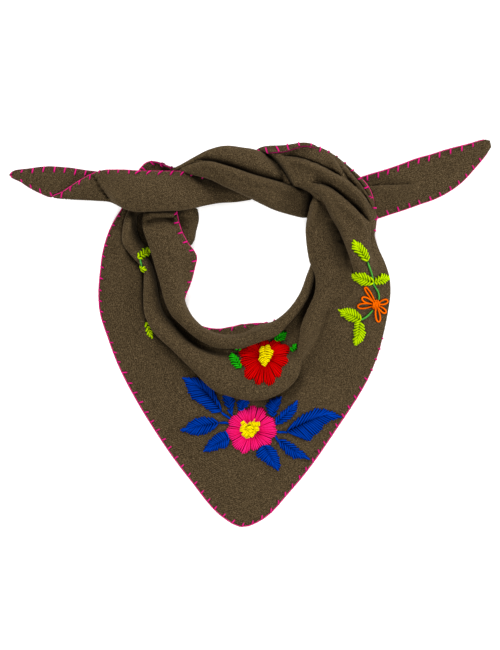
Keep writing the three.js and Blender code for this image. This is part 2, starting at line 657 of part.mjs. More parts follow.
function heightOn(surface, x, y) {
  const from = new THREE.Vector3(x - CENTRE_X, y - CENTRE_Y, 100);
  const hits = new THREE.Raycaster(from, DOWN).intersectObject(surface);
  return hits.length ? hits[0].point.z : null;
}

// A padded patch: rows of points in the plan, each with its share of the rise.
function patch(surface, rows, grow = 0) {
  const lowest = SEAT_GAP + THREAD_RISE;
  let last = 0;
  const top = rows.map((row) => row.map(([x, y, share]) => {
    const z = heightOn(surface, x, y) ?? last;
    last = z;
    return new THREE.Vector3(x - CENTRE_X, y - CENTRE_Y, z + lowest * share + grow);
  }));
  const bottom = rows.map((row, i) => row.map((_, j) => {
    const p = top[i][j];
    return new THREE.Vector3(p.x, p.y, p.z - lowest * rows[i][j][2] - 0.8 - 2 * grow);
  }));
  return slab(top, bottom);
}

// A pointed leaf with a groove along its rib. left and right are its half
// widths, bend bows it sideways.
function leafRows({ x0, y0, x1, y1, left, right, bend = 0 }, grow = 0) {
  const length = Math.hypot(x1 - x0, y1 - y0);
  const [ux, uy] = [(x1 - x0) / length, (y1 - y0) / length];
  return [0, 0.12, 0.35, 0.6, 0.82, 1].map((s) => {
    const along = s * (length + 2 * grow) - grow;
    const half = Math.max(0.1, Math.sin(Math.PI * s ** 0.8) ** 0.75);
    const bow = bend * Math.sin(Math.PI * s);
    return [-1, -0.5, 0, 0.5, 1].map((c) => {
      const side = c * ((c > 0 ? left : right) * half + grow) + bow;
      const share = 0.55 + 0.45 * Math.sin(Math.PI * Math.min(1, Math.abs(c) * 1.25)) ** 0.7;
      return [x0 + ux * along - uy * side, y0 + uy * along + ux * side, share];
    });
  });
}

// A strip of even width along a line, for stems and looped petals.
function stripRows(points, width) {
  return points.map(([x, y], i) => {
    const [px, py] = points[Math.max(0, i - 1)];
    const [nx, ny] = points[Math.min(points.length - 1, i + 1)];
    const length = Math.hypot(nx - px, ny - py);
    const [sx, sy] = [-(ny - py) / length, (nx - px) / length];
    return [-0.5, 0, 0.5].map((c) => [x + sx * width * c, y + sy * width * c, c ? 0.6 : 1]);
  });
}

// A flower head between an inner and an outer ring, made in two halves.
function headSolid(surface, { x, y, hole, radii, lobes }, grow = 0) {
  const count = radii.length;
  const outer = (angle) => {
    const t = (angle / (2 * Math.PI)) * count;
    const k = Math.floor(t) % count;
    return lerp(radii[k], radii[(k + 1) % count], t - Math.floor(t));
  };
  const half = (start) => {
    const rows = [];
    const steps = 2 * lobes;
    for (let i = 0; i <= steps; i += 1) {
      const angle = start + (Math.PI * i) / steps;
      const notch = 1 - 0.09 * (i % 2);
      rows.push([0, 0.5, 1].map((c) => {
        const r = lerp(hole - grow, outer(angle) * notch + grow, c);
        const share = [0.7, 1, 0.55][Math.round(c * 2)];
        return [x + r * Math.cos(angle), y + r * Math.sin(angle), share];
      }).reverse());
    }
    return patch(surface, rows, grow);
  };
  return half(0).add(half(Math.PI));
}

// A rounded button of knots at the middle of a flower.
function buttonSolid(surface, { x, y, rx, ry, turn = 0 }, grow = 0) {
  const grid = [-1, -0.5, 0, 0.5, 1];
  const [cos, sin] = [Math.cos(turn), Math.sin(turn)];
  return patch(surface, grid.map((u) => grid.map((v) => {
    const px = (rx + grow) * u * Math.sqrt(1 - v * v / 2);
    const py = (ry + grow) * v * Math.sqrt(1 - u * u / 2);
    const share = 1.1 - 0.4 * Math.max(Math.abs(u), Math.abs(v)) ** 2;
    return [x + px * cos - py * sin, y + px * sin + py * cos, share];
  })), grow);
}

const PINK_HEAD = {
  x: 1, y: -95, hole: 11.3, lobes: 9, radii: [25.5, 25, 22, 25, 23, 22, 22.5, 23, 24.5, 23, 23, 25, 20, 19, 22, 24],
};
const RED_HEAD = {
  x: 15, y: -22, hole: 9.8, lobes: 8, radii: [24, 25, 22, 18, 16, 17, 20, 25, 26.5, 24.5, 27, 28, 28, 27, 22, 21],
};
const PINK_BUTTON = { x: 0.5, y: -94.5, rx: 10.6, ry: 7.4, turn: 0.45 };
const RED_BUTTON = { x: 15.5, y: -21.5, rx: 7.6, ry: 9.3, turn: -0.1 };

const BLUE_LEAVES = table('name x0 y0 x1 y1 left right bend', [
  ['upper_left', -29, -78, -67, -43, 9, 9.5, 1],
  ['left', -31, -88, -69, -95, 8, 8, 1],
  ['lower_left', -21, -103, -46, -117, 6, 6.5, 0],
  ['top_left', -20, -75, -26, -56, 5, 5, 0],
  ['top', -8, -73, -4, -61, 5, 5, 0],
  ['top_right', 22, -80, 31, -62, 5.5, 5.5, 1],
  ['right_up', 26, -89, 47, -65, 4.5, 5, 0],
  ['right', 38, -97, 91, -81, 13, 12, 1.5],
  ['right_low', 29, -107, 59, -125, 5.5, 6, 0],
  ['bottom', 11, -113, 29, -136, 8, 8.5, 0],
]);
const BLUE_STEMS = table('name points', [
  ['upper_left', [[-19, -84], [-23.5, -81], [-28.3, -78]]],
  ['left', [[-21.6, -88], [-26, -87.5], [-30.3, -88]]],
  ['top_left', [[-17.5, -80.5], [-18.8, -77.8], [-19.8, -75.6]]],
  ['right', [[27, -97], [32, -97], [37.3, -97]]],
  ['right_low', [[25, -101], [27, -104], [28.6, -106.5]]],
]);
const GREEN_LEAVES = table('name x0 y0 x1 y1 left right bend', [
  ['left', -10, -33, -19, -18, 4.5, 4.5, 0],
  ['left_small', -9.5, -13, -14, -14.5, 2, 2, 0],
  ['top', 35, 1.5, 24, -4.5, 4.6, 4.6, 0],
  ['right', 45.4, -9.6, 40.2, -15.2, 3.1, 3.1, 0],
]);
const LIME_RIGHT = table('name x0 y0 x1 y1 left right bend', [
  ['top', 116, 74, 102, 94, 5.2, 5.2, 0],
  ['middle_left', 120, 52.5, 99, 61, 4.6, 4.6, -1],
  ['middle_right', 123.5, 52.5, 138.5, 57, 4.6, 4.6, 0.5],
  ['low_left', 109, 15, 89.5, 25, 5.2, 5, 0],
  ['low', 108.5, 11, 105.5, -9, 5.4, 5.2, 0],
]);
const LIME_LEFT = table('name x0 y0 x1 y1 left right bend surface', [
  ['shoulder', -109, 77, -100, 87, 4, 4, 0, 'pocket'],
  ['side', -104, 12, -98.5, -3, 3.6, 3.6, 0, 'panel'],
]);
const STEMS_RIGHT = table('name points', [
  ['upper', [[116.6, 72.6], [119, 66], [121.4, 58], [122.2, 50.5], [126, 45.5], [128.3, 40.5], [128.4, 35.4]]],
  ['lower', [[121.8, 24.8], [118, 20], [113, 16.4], [109.6, 15]]],
]);
const DAISY = { x: 126, y: 30, radius: 3.7, thread: 1.7 };
const DAISY_TIPS = table('x y width', [
  [113.5, 49, 6],
  [111, 37.5, 6.5],
  [106.3, 28, 6],
  [137, 35.5, 5],
  [134.3, 22, 5.5],
  [128.3, 12.8, 6],
]);

function daisySolid(surface, grow = 0) {
  const { x, y, radius, thread } = DAISY;
  let solid = buttonSolid(surface, { x, y, rx: radius, ry: radius }, grow);
  DAISY_TIPS.forEach((tip) => {
    const length = Math.hypot(tip.x - x, tip.y - y) - thread / 2;
    const [ux, uy] = [(tip.x - x) / (length + thread / 2), (tip.y - y) / (length + thread / 2)];
    const loop = [];
    for (let i = 0; i <= 10; i += 1) {
      const a = (Math.PI * i) / 5;
      const along = radius * 0.6 + (length - radius * 0.6) * (0.5 - 0.5 * Math.cos(a));
      const side = (tip.width - thread) * 0.5 * Math.sin(a) * (0.45 + 0.55 * (along / length));
      loop.push([x + ux * along - uy * side, y + uy * along + ux * side]);
    }
    const rows = stripRows(loop, thread + 2 * grow);
    solid = solid.add(patch(surface, rows.slice(0, 6), grow)).add(patch(surface, rows.slice(5), grow));
  });
  return solid;
}

// Pieces are laid down in order; each leaves a small gap round the earlier ones.
const laid = [];

function stitch(name, color, make) {
  let solid = make(0).subtract(clearCloth);
  laid.forEach((other) => {
    solid = solid.subtract(other);
  });
  const parts = solid.decompose();
  const body = parts.reduce((a, b) => (b.volume() > a.volume() ? b : a));
  addPiece(name, mainBody(body, 0.25), color, 0.55);
  laid.push(make(SEAT_GAP));
}

const leaf = (surface, spec) => (grow) => patch(surface, leafRows(spec, grow), grow);
const stem = (surface, points, width) => (grow) => patch(surface, stripRows(points, width + 2 * grow), grow);

stitch('flower_pink_center', YELLOW, (grow) => buttonSolid(PANEL, PINK_BUTTON, grow));
stitch('flower_pink_petals', PINK, (grow) => headSolid(PANEL, PINK_HEAD, grow));
BLUE_LEAVES.forEach((spec) => stitch(`leaf_blue_${spec.name}`, BLUE, leaf(PANEL, spec)));
BLUE_STEMS.forEach((spec) => stitch(`stem_blue_${spec.name}`, BLUE, stem(PANEL, spec.points, 2.6)));
stitch('flower_red_center', YELLOW, (grow) => buttonSolid(POCKET, RED_BUTTON, grow));
stitch('flower_red_petals', RED, (grow) => headSolid(POCKET, RED_HEAD, grow));
GREEN_LEAVES.forEach((spec) => stitch(`leaf_green_${spec.name}`, GREEN, leaf(POCKET, spec)));
stitch('daisy', ORANGE, (grow) => daisySolid(RIGHT_SIDE, grow));
LIME_RIGHT.forEach((spec) => stitch(`leaf_lime_${spec.name}`, LIME, leaf(RIGHT_SIDE, spec)));
STEMS_RIGHT.forEach((spec) => stitch(`stem_green_${spec.name}`, STEM, stem(RIGHT_SIDE, spec.points, 1.8)));
LIME_LEFT.forEach((spec) => {
  stitch(`leaf_lime_${spec.name}`, LIME, leaf(spec.surface === 'panel' ? PANEL : POCKET, spec));
});

export default group;
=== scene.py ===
# Felted wool triangle scarf, knotted and laid on a table, with wool embroidery.
# Plan distances in the tables are millimetres, everything built is in metres.
import math
import random

import bpy
import numpy as np
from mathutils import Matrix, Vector
from mathutils.bvhtree import BVHTree


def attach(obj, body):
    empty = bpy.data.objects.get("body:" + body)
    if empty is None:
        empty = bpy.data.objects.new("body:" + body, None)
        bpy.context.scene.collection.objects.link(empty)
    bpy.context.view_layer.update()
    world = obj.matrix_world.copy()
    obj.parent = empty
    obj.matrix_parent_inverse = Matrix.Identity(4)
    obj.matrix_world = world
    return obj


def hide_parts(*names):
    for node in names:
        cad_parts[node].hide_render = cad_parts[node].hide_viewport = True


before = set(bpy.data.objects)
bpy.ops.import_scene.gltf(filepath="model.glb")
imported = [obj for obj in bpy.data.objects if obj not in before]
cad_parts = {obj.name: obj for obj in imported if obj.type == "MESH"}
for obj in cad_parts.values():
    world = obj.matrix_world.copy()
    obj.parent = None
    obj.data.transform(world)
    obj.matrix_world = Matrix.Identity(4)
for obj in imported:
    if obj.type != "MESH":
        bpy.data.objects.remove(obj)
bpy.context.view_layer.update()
bpy.ops.object.select_all(action="DESELECT")
mm = 0.001

cloth = {
    "thickness": 2.2,
    "rowSpacing": 3.35,          # along the strand
    "bendSpacing": 0.4,          # in the sharp bend under the knot, as a share of that
    "columns": 23,               # of each cut through the strand, from the neck hem to the outer hem
    "centre": (0.36, 1.83, 0.2),     # of the part in the tables' millimetres
    "leastHeight": 1.3,          # of the middle of the sheet above the table
    "rim": 0.8,                  # how far a hem is rounded, as a share of half the thickness
}
outerHem = cloth["columns"] - 1


def table(names, rows):
    keys = names.split()
    return [dict(zip(keys, row)) for row in rows]


# Each row is a cut through the strand. In the cuts from (ax, ay) to (bx, by) the other values are
# distances along that line, and what begins with z, low, high or base is a height.
# Left tail and the wrap over the left shoulder, folded in two lengthwise: back, fold and flap are
# the y of the lower layer's hem, of the fold and of the upper layer's hem.
tailLeft = table("x back fold flap low high", [
    (-240.5, 160.5, 159.5, 159.5, 3, 3),
    (-236, 163.3, 157, 157, 3, 3.5),
    (-230, 164.5, 154.5, 154.5, 3, 4),
    (-222, 165.3, 149, 149, 3, 5),
    (-210, 167, 142.7, 142.7, 3, 6),
    (-200, 167.6, 138.6, 138.8, 4, 7),
    (-190, 167, 136.8, 141, 4, 9),
    (-180, 166, 136, 147, 5, 11),
    (-170, 164.5, 135.6, 153.5, 5, 13),
    (-160, 163, 135.2, 159, 6, 15),
    (-150, 162, 134.6, 162.8, 7, 17),
    (-143, 161.5, 134, 164, 8, 19),
    (-138, 161.3, 133, 164, 10, 24),
    (-132, 161, 130, 163.9, 12, 30),
    (-125, 161, 126.3, 163.7, 13, 33),
    (-115, 161, 123.6, 163, 14, 35),
    (-100, 161, 123.6, 162.5, 14, 36),
    (-85, 161, 124.2, 162.5, 14, 35),
    (-70, 160, 124.8, 162.3, 13, 32),
    (-57, 159, 127, 161.2, 10, 26),
    (-45, 157, 129.8, 159.2, 7, 20),
    (-30, 153, 132.6, 156, 4, 13),
    (-15, 150, 133.6, 153, 2.5, 10),
    (0, 150, 135.8, 154, 2, 9),
])

# Right side, from under the knot to the lower right: the neck roll with its crest zJ from jIn to
# jOut, a valley, the collar fold from kIn with its crest zK, and three pleats. v1, l2 and l3 are
# the pleats' near edges, w1, w2 and w3 their tucks.
shoulderPlan = table("ax ay bx by hem0 jIn jOut val deep kIn v1 w1 l2 w2 l3 w3 p1 hem", [
    (20, 152, 6, 183, 26, 18, 11, 6, 3, 0, 1, 0, 4, 0, 23, 0, 29, 28.5),
    (43, 148, 35, 188.3, 32, 24, 14, 8, 4, 0, 1, 0, 3, 0, 25, 0, 33, 36.3),
    (58, 144, 61, 189.5, 36, 27, 16, 8, 4, 0, 1.5, 0.5, 9, 0, 24, 0, 35, 44.2),
    (63, 139.5, 80, 181, 38, 29, 17, 9, 4, 0, 3, 1, 14, 2, 27, 0, 37, 43.4),
    (61, 130, 113, 151, 38, 28, 16, 9, 6, 0, 13, 4, 28, 4, 42, 2, 51, 57.5),
    (58, 118, 124, 125, 36, 22, 14, 10, 16, 0, 22, 7, 48.5, 6, 60, 3, 64, 67),
    (56.5, 102, 123, 102, 34, 3, 8, 12, 34, 0, 34, 8, 60, 5, 63, 3, 65, 67.5),
    (58, 86, 127.5, 86, 36, 3, 8, 12, 36, 0, 39, 7, 58, 1, 62, 0, 67, 63),
    (60.5, 73, 133.5, 73, 38, 1.5, 8, 12, 38, 0, 41, 4, 58, 0, 65, 0, 70, 62),
    (57.5, 59, 138, 60, 34, 0, 6, 10, 42, 8.5, 45, 1, 62, 0, 70, 0, 76, 68),
    (51, 42, 139.5, 44, 30, 0, 8, 12, 46, 14.5, 46, 0, 66, 0, 75, 0, 83, 77),
    (40, 26, 137, 24, 24, 0, 10, 15, 44, 18.5, 42, 0, 66, 0, 79, 0, 90, 90),
    (24, 13, 130, -8, 2, 0, 13, 20, 48, 28, 48, 0, 76, 0, 90, 0, 101, 108),
    (12, 9, 120, -36, -6, 0, 18, 27, 54, 40.5, 54, 0, 82, 0, 97, 0, 109, 117),
])
shoulderHeights = table("base zJ zK zV1 zG1 zG3 zOut zHem flat", [
    (2, 5, 6, 8, 9, 12, 11, 15, 1),
    (8, 11, 14, 18, 23, 23, 20, 24, 1),
    (14.5, 15, 20, 22, 28, 28, 22, 25.5, 1),
    (15, 16, 22, 23, 31, 29, 20, 13, 1),
    (15, 14, 25, 21, 33, 29, 16, 14.5, 1),
    (9, 13, 24, 17, 33, 25, 12, 9, 0.8),
    (2, 7.5, 23, 10, 31, 18, 9, 5, 0),
    (1.4, 7.2, 22, 9, 29, 15, 8, 2.5, 0),
    (1.4, 8, 21, 11, 27, 14, 7, 1.4, 0),
    (1.4, 13, 20, 18, 24, 13, 6.5, 1.3, 0),
    (1.4, 14, 20, 19, 21, 13, 6, 1.3, 0),
    (1.4, 15, 20, 15.5, 18, 12, 5, 1.3, 0),
    (1.4, 16, 20, 12, 14, 10, 3, 1.3, 0),
    (1.4, 17, 19, 9, 9, 6, 2, 1.3, 0),
])
shoulder = [{**plan, **heights} for plan, heights in zip(shoulderPlan, shoulderHeights)]

# Lower right, bottom, left side and left shoulder: the neck hem and its lip, the neck roll zJ out
# to jOut and back, a valley zV, the cowl fold zK out to kOut with its deep tuck, then the panel zD.
swag = table("ax ay bx by hem zHem lip zIn zJ jOut back val zV kOut ridge zK tuck zD flat", [
    (0, 4, 88, -90, -8, 1.6, 0, 9, 18, 14, 5, 19, 6, 66, 58, 16, 14, 4, 0),
    (-4, 2, 40, -155, -8.5, 1.6, 0, 9, 18, 12.5, 4.5, 17, 6, 68, 58, 18, 30, 5, 0),
    (-6, 1, 13, -183, -9, 1.6, 0, 9, 18, 12.5, 4.5, 16, 6, 66, 56, 18, 40, 4.5, 0),
    (-8, 0.5, -8, -191, -9.5, 1.6, 0, 9, 18, 13, 4.5, 16, 6, 64, 54, 18, 42, 4.5, 0),
    (-11, 0, -28, -180.5, -9.5, 1.6, 0, 9, 18, 13, 4.5, 16, 6, 61.5, 51, 18, 40, 4.5, 0),
    (-16, -0.5, -60, -143, -9.5, 1.6, 0, 9, 18, 13, 4.5, 17, 6, 58, 48, 18, 38, 5, 0),
    (-27, -0.5, -100, -86, -10, 1.6, 0, 9, 19, 14, 4.5, 20, 3, 45, 37, 18, 20, 5, 0),
    (-40, 3.5, -127, -38, -5, 1.6, 3, 9, 20, 14, 4.5, 22, 2, 41, 33, 18, 14, 5, 0),
    (-52, 11.5, -142, 0, 2, 1.8, 5, 9, 21, 15, 4.5, 22, 1.6, 45.5, 35, 18, 16, 6, 0),
    (-60, 21, -148.5, 20, 4, 3, 6, 10, 22, 18, 6, 25, 1.6, 44, 35, 17, 14, 7, 0),
    (-66, 36, -150.5, 38, 0, 5, 2, 12, 23, 19, 8, 25, 1.6, 39.5, 31, 17, 11, 7.5, 0),
    (-66, 52, -150, 52, -6, 9, -3, 15, 24, 23, 8, 27, 1.6, 39, 33, 17, 9, 8, 0),
    (-67, 67, -148.5, 67, -11, 12, -5, 18, 25, 26.5, 8, 30, 2, 39.5, 35, 17, 8, 8, 0),
    (-67, 79, -147, 79, -13, 15, -7, 20, 25, 30, 6, 35, 3, 50, 42, 16.5, 12, 8, 0),
    (-70, 92, -144, 92, -7, 18, -4, 21, 25, 31.5, -12, 36.5, 2.5, 56, 48, 18, 14, 8, 0),
    (-75, 105, -139.5, 105, -5.5, 20, -3, 22, 25, 31, -20.5, 37, 2, 51, 45, 19, 10, 8, 0),
    (-77, 116, -134, 116, -4.5, 18, -2, 18, 20, 30, -25, 35, 2, 47, 42, 17, 8, 6, 0),
    (-78, 127, -127, 127, -4, 11, -2, 11, 11, 27, -28, 31, 5, 43, 38, 8, 10, 3, 0.1),
    (-72, 140, -118, 152, -8, 7, -4, 8, 8, 22, -22, 26, 4, 36, 32, 7, 8, 3, 0.6),
    (-62, 150, -98, 173.5, -10, 6, -4, 7, 8, 16, -12, 20, 4, 30, 26, 7, 6, 3, 1),
])

# The strand that crosses over the middle of the knot: two rolls side by side.
crossing = table("ax ay bx by crease base zLow zUp flat", [
    (-66, 159, -80, 168, 6, 8, 20, 17, 0.9),
    (-55, 159, -61, 174.5, 11, 14, 29, 25, 0.2),
    (-45, 158, -48, 180, 14, 20, 33, 30, 0),
    (-30, 151, -30, 187, 18, 17, 36, 32, 0),
    (-12, 143, -6, 185.5, 20, 15, 36, 32, 0),
    (5, 135, 13, 180.5, 22.3, 14, 35, 30, 0),
    (21, 127, 32, 166, 26, 13, 30, 25, 0),
    (39, 121.3, 45, 150, 27, 7, 21, 17.5, 0),
    (58, 117.5, 64, 144, 26, 1.4, 13, 10.5, 0),
    (80, 115, 84, 148, 27, 1.4, 9, 8, 0.6),
    (94, 115, 94, 150, 27, 1.4, 7, 7, 1),
])

# The right tail, with a crease that opens out into it.
tailRight = table("ax ay bx by crease pleat low high", [
    (106, 116, 100, 152, 28, 5, 1.4, 6),
    (116, 116.5, 108, 155.5, 29, 6, 1.4, 7),
    (125, 117, 114.5, 158, 30, 6, 1.6, 9),
    (140, 121.5, 136, 164.5, 27, 5, 1.8, 9),
    (155, 126.3, 152, 170, 22, 2.5, 2, 8.5),
    (168, 131, 165, 175, 19, 0.4, 2, 8),
    (185, 137, 182, 179.8, 16, 0, 2, 8),
    (200, 145, 195, 184, 14, 0, 2, 7.5),
    (213, 155, 208, 187.5, 12, 0, 2, 7),
    (223, 166, 218, 190, 9, 0, 2, 6),
    (232, 176.5, 228, 193, 6, 0, 2, 5),
    (237, 183, 234, 194.6, 4, 0, 2, 4),
    (240.5, 188.5, 239, 194.5, 2, 0, 2, 3),
])


def lerp(a, b, s):
    return a + (b - a) * s


def spline(xs, points, queries):
    xs, points, queries = (np.asarray(values, float) for values in (xs, points, queries))
    shape = (-1,) + (1,) * (points.ndim - 1)
    gap = np.diff(xs)
    w = gap.reshape(shape)
    slope = np.diff(points, axis=0) / w
    tangent = np.empty_like(points)
    tangent[0], tangent[-1] = slope[0], slope[-1]
    tangent[1:-1] = (w[1:] * slope[:-1] + w[:-1] * slope[1:]) / (w[:-1] + w[1:])
    k = np.clip(np.searchsorted(xs, queries, side="right") - 1, 0, len(xs) - 2)
    t = ((queries - xs[k]) / gap[k]).reshape(shape)
    t2, t3 = t * t, t * t * t
    return (points[k] * (2 * t3 - 3 * t2 + 1) + points[k + 1] * (3 * t2 - 2 * t3)
            + tangent[k] * w[k] * (t3 - 2 * t2 + t) + tangent[k + 1] * w[k] * (t3 - t2))


def unit(vectors):
    return vectors / (np.linalg.norm(vectors, axis=-1, keepdims=True) + 1e-9)


# How far along a line each of its points is, and the point that is so far along it.
def distances(line):
    return np.r_[0, np.cumsum(np.linalg.norm(np.diff(line, axis=0), axis=1))]


def pointAt(line, along, s):
    return np.array([np.interp(s, along, line[:, c]) for c in range(line.shape[1])])


def spread(path, n):
    path = np.asarray(path, float)
    along = distances(path)
    return pointAt(path, along, np.linspace(0, along[-1], n)).T


def smoothLine(points, count):
    along = distances(points)
    return spline(along, points, np.linspace(0, along[-1], count))


def reach(r):
    return math.hypot(r["bx"] - r["ax"], r["by"] - r["ay"])


# A cut's profile of distances and heights, as points of the plan with their heights.
def place(r, profile):
    dx, dy = (r["bx"] - r["ax"]) / reach(r), (r["by"] - r["ay"]) / reach(r)
    return [(r["ax"] + dx * t, r["ay"] + dy * t, z) for t, z in profile]


# A profile pressed towards a plain slope, where the strand lies flat.
def flattened(profile, share, t0, t1, z0, z1):
    last = len(profile) - 1
    return [(lerp(t, lerp(t0, t1, j / last), share), lerp(z, lerp(z0, z1, j / last), share))
            for j, (t, z) in enumerate(profile)]


leftWrap = {
    "points": 15,            # of each of its two layers
    "foldRound": 2.2,
    "overhang": 3.0,         # of the upper layer's start past the fold
    "leastGap": 2.7,         # between the layers' middles
}


def tailLeftSection(r):
    x, back, fold, flap, low, high = r.values()
    turned = min(1, max(0, flap - fold) / 12)      # how far the upper layer has turned over
    last = leftWrap["points"] - 1
    path = []
    for i in range(last + 1):
        bulge = math.sin(math.pi * i / last)
        lift = (high - low) * (1 - turned) * bulge * 0.6 - turned * bulge
        path.append((back + (fold + leftWrap["foldRound"] * turned - back) * i / last, low + lift))
    if flap - fold > 0.4:
        least = leftWrap["leastGap"] * min(1, turned * 4)
        rise = max((high - low) * turned, least)
        path += [(fold + 0.5 * turned, low + rise * 0.25), (fold, low + rise * 0.5),
                 (fold + turned, low + rise * 0.75)]
        over = leftWrap["overhang"] * turned
        for i in range(last + 1):
            s = i / last
            crown = 1 - 0.35 * (2 * s - 0.75) ** 2
            y = fold + over + (flap - fold - over) * s
            path.append((y, low + max((high - low) * turned * crown - 2 * turned * s * s, least)))
    return [(x, y, z) for y, z in spread(path, cloth["columns"])]


# In the profiles, plain numbers are millimetres from a named place or height.
def shoulderSection(r):
    length = reach(r)
    base, zJ, zK, zV1, zG1, zG3 = (r[k] for k in ("base", "zJ", "zK", "zV1", "zG1", "zG3"))
    f2, f3 = min(1, r["w2"] / 6), min(1, r["w3"] / 6)      # how far each tuck is shut

    def folded(z):
        return lerp(z, base, r["flat"])

    second = ((r["l2"] - r["w2"], zG1 - 2.5 - 5 * f2) if f2 > 0.1
              else (lerp(r["l2"], r["l3"], 0.3), lerp(zG1, zG3, 0.6)))
    third = ((r["l3"] - r["w3"], zG3 - 2 - 4 * f3) if f3 > 0.1
             else (lerp(r["l3"], r["p1"], 0.5), lerp(zG3, r["zOut"], 0.45)))
    return place(r, [
        (r["hem0"], base if r["hem0"] > 0 else 1.6),      # neck hem, then the neck roll
        (lerp(r["hem0"], r["jIn"], 0.6), folded(base + 0.6)),
        (r["jIn"], folded(lerp(base, zJ, 0.5))),
        (lerp(r["jIn"], r["jOut"], 0.35), folded(zJ)),
        (lerp(r["jIn"], r["jOut"], 0.8), folded(zJ - 0.6)),
        (r["jOut"], folded(zJ - 3.5)),
        (r["jOut"] - 2.5, folded(base + 4.6)),
        (r["val"], folded(base + 2.6)),      # valley, then the collar fold
        (r["deep"], folded(base + 3.2)),
        (r["kIn"], lerp(base, zK, 0.62)),
        (r["kIn"] + min(3, r["v1"] * 0.25), lerp(base, zK, 0.88)),
        (lerp(r["kIn"], r["v1"], 0.5), zK),
        (r["v1"] + r["w1"], zV1),      # first tuck and pleat
        (lerp(r["v1"], r["l2"], 0.16 * (1 - min(1, r["w1"] / 3))), lerp(zV1, zG1, 0.5)),
        (lerp(r["v1"], r["l2"], 0.3), zG1),
        (r["l2"], zG1 - 1.5 - 1.5 * f2 if f2 > 0 else lerp(zG1, zG3, 0.35)),
        second,
        (lerp(r["l2"], r["l3"], 0.55), lerp(lerp(zG1, zG3, 0.8), zG3 + 1, f2)),
        (r["l3"], zG3 - 1),
        third,
        (r["p1"], lerp(zG3, r["zOut"], 0.75)),
        (length, (r["zOut"] + r["zHem"]) / 2 if r["hem"] < length else r["zOut"]),
        (r["hem"], r["zHem"]),
    ])


def swagSection(r):
    length = reach(r)
    zK, zJ, zV, kOut = r["zK"], r["zJ"], r["zV"], r["kOut"]
    under = max(4.6, zK * 0.38)      # how high the cowl fold's lower layer lies
    panel = kOut - 1
    profile = [
        (r["hem"], r["zHem"]),
        (r["lip"], (r["zHem"] + (r["zHem"] if r["lip"] > 0 else r["zIn"])) / 2 + 0.8),
        (0, r["zIn"]),
        (r["jOut"] * 0.3, zJ),
        (r["jOut"] * 0.75, zJ - 0.8),
        (r["jOut"], zJ - 5),
        (r["back"], zV + 3.2),
        (r["val"], zV),
        (lerp(r["val"], r["ridge"], 0.34), lerp(zV, zK, 0.6)),
        (lerp(r["ridge"], kOut, 0.35), zK),
        (kOut, lerp(under, zK, 0.62)),
        (kOut - 3.5, under),
        (kOut - r["tuck"], 3.2),
        (panel, 1.4),
    ]
    for i in range(1, 10):      # the panel swells a little between the fold and the outer hem
        swell = (r["zD"] - 1.6) * math.sin(math.pi * min(1, i / 8) ** 0.85)
        profile.append((lerp(panel, length, i / 9), 1.4 + swell))
    return place(r, flattened(profile, r["flat"], r["hem"], length, r["zHem"], r["zD"]))


def crossingSection(r):
    length = reach(r)
    c = min(r["crease"], length - 1.5)
    b, zLow, zUp = r["base"], r["zLow"], r["zUp"]
    tuck = max(zUp - 8, min(b + 6.6, zUp - 2))
    profile = [
        (length * 0.85, b), (length * 0.45, b), (length * 0.14, b),
        (0.5, lerp(b, zLow, 0.3)), (0, lerp(b, zLow, 0.55)), (c * 0.1, lerp(b, zLow, 0.82)),
        (c * 0.4, zLow), (c * 0.75, zLow - 0.3), (c * 0.95, zLow - 1.5),
        (c, lerp(tuck, zLow, 0.4)), (c - 5, tuck), (c + 1, lerp(tuck, zUp, 0.3)),
        (lerp(c, length, 0.35), zUp - 1), (lerp(c, length, 0.65), zUp), (lerp(c, length, 0.9), zUp - 2),
        (length, lerp(b, zUp, 0.6)), (length - 0.8, lerp(b, zUp, 0.42)),
    ]
    # the hidden layer turns back below both rolls
    for share, lift in ((0.92, 3), (0.75, 3), (0.6, 3.1), (0.45, 3.2), (0.3, 3.3), (0.15, 3.4)):
        profile.append((length * share, b + lift))
    return place(r, flattened(profile, r["flat"], 0, length, lerp(b, zLow, 0.5), lerp(b, zUp, 0.5)))


def tailRightSection(r):
    length = reach(r)
    c, low, high, p = r["crease"], r["low"], r["high"], max(0, r["pleat"])
    f = min(1, p / 5)
    path = [(c * i / 8, low + (high - low) * math.sin(math.pi * 0.5 * min(1, i / 8 * 1.15)))
            for i in range(9)]
    after = lerp(high - 1.5, low, f)
    opened = min(4, (length - c) * 0.4)
    path += [(c + opened * 0.25, lerp(high - 0.6, high - 2, f)),
             (c + opened * 0.5 - (p + 2) * f, lerp(high - 1, low + 2, f)),
             (c + opened, after)]
    path += [(lerp(c + opened, length, i / 7), lerp(after, low, i / 7)) for i in range(1, 8)]
    return place(r, spread(path, cloth["columns"]))


# Even cuts through the strand between the rows of a table.
def between(rows, count, section, keys):
    names = list(rows[0])
    steps = [math.hypot(*(b[k] - a[k] for k in keys)) for a, b in zip(rows, rows[1:])]
    along = np.r_[0, np.cumsum(steps)]
    values = spline(along, [list(row.values()) for row in rows], np.linspace(0, along[-1], count))
    return [section(dict(zip(names, value))) for value in values]


cuts = {"tailLeft": 60, "bend": 6, "crossing": 13, "tailRight": 36}
sections = between(tailLeft, cuts["tailLeft"], tailLeftSection, ("x",))
firstShoulder = len(sections)
sections += [shoulderSection(r) for r in shoulder]
firstSwag = len(sections)
sections += [swagSection(r) for r in swag]
firstCrossing = len(sections)
sections += between(crossing, cuts["crossing"], crossingSection, ("ax", "ay"))
sections += between(tailRight, cuts["tailRight"], tailRightSection, ("ax", "ay"))
net = np.array(sections, float)
chords = np.linalg.norm(np.diff(net, axis=0), axis=2)
strand = np.r_[0, np.cumsum(np.median(chords, axis=1) + 0.3)]

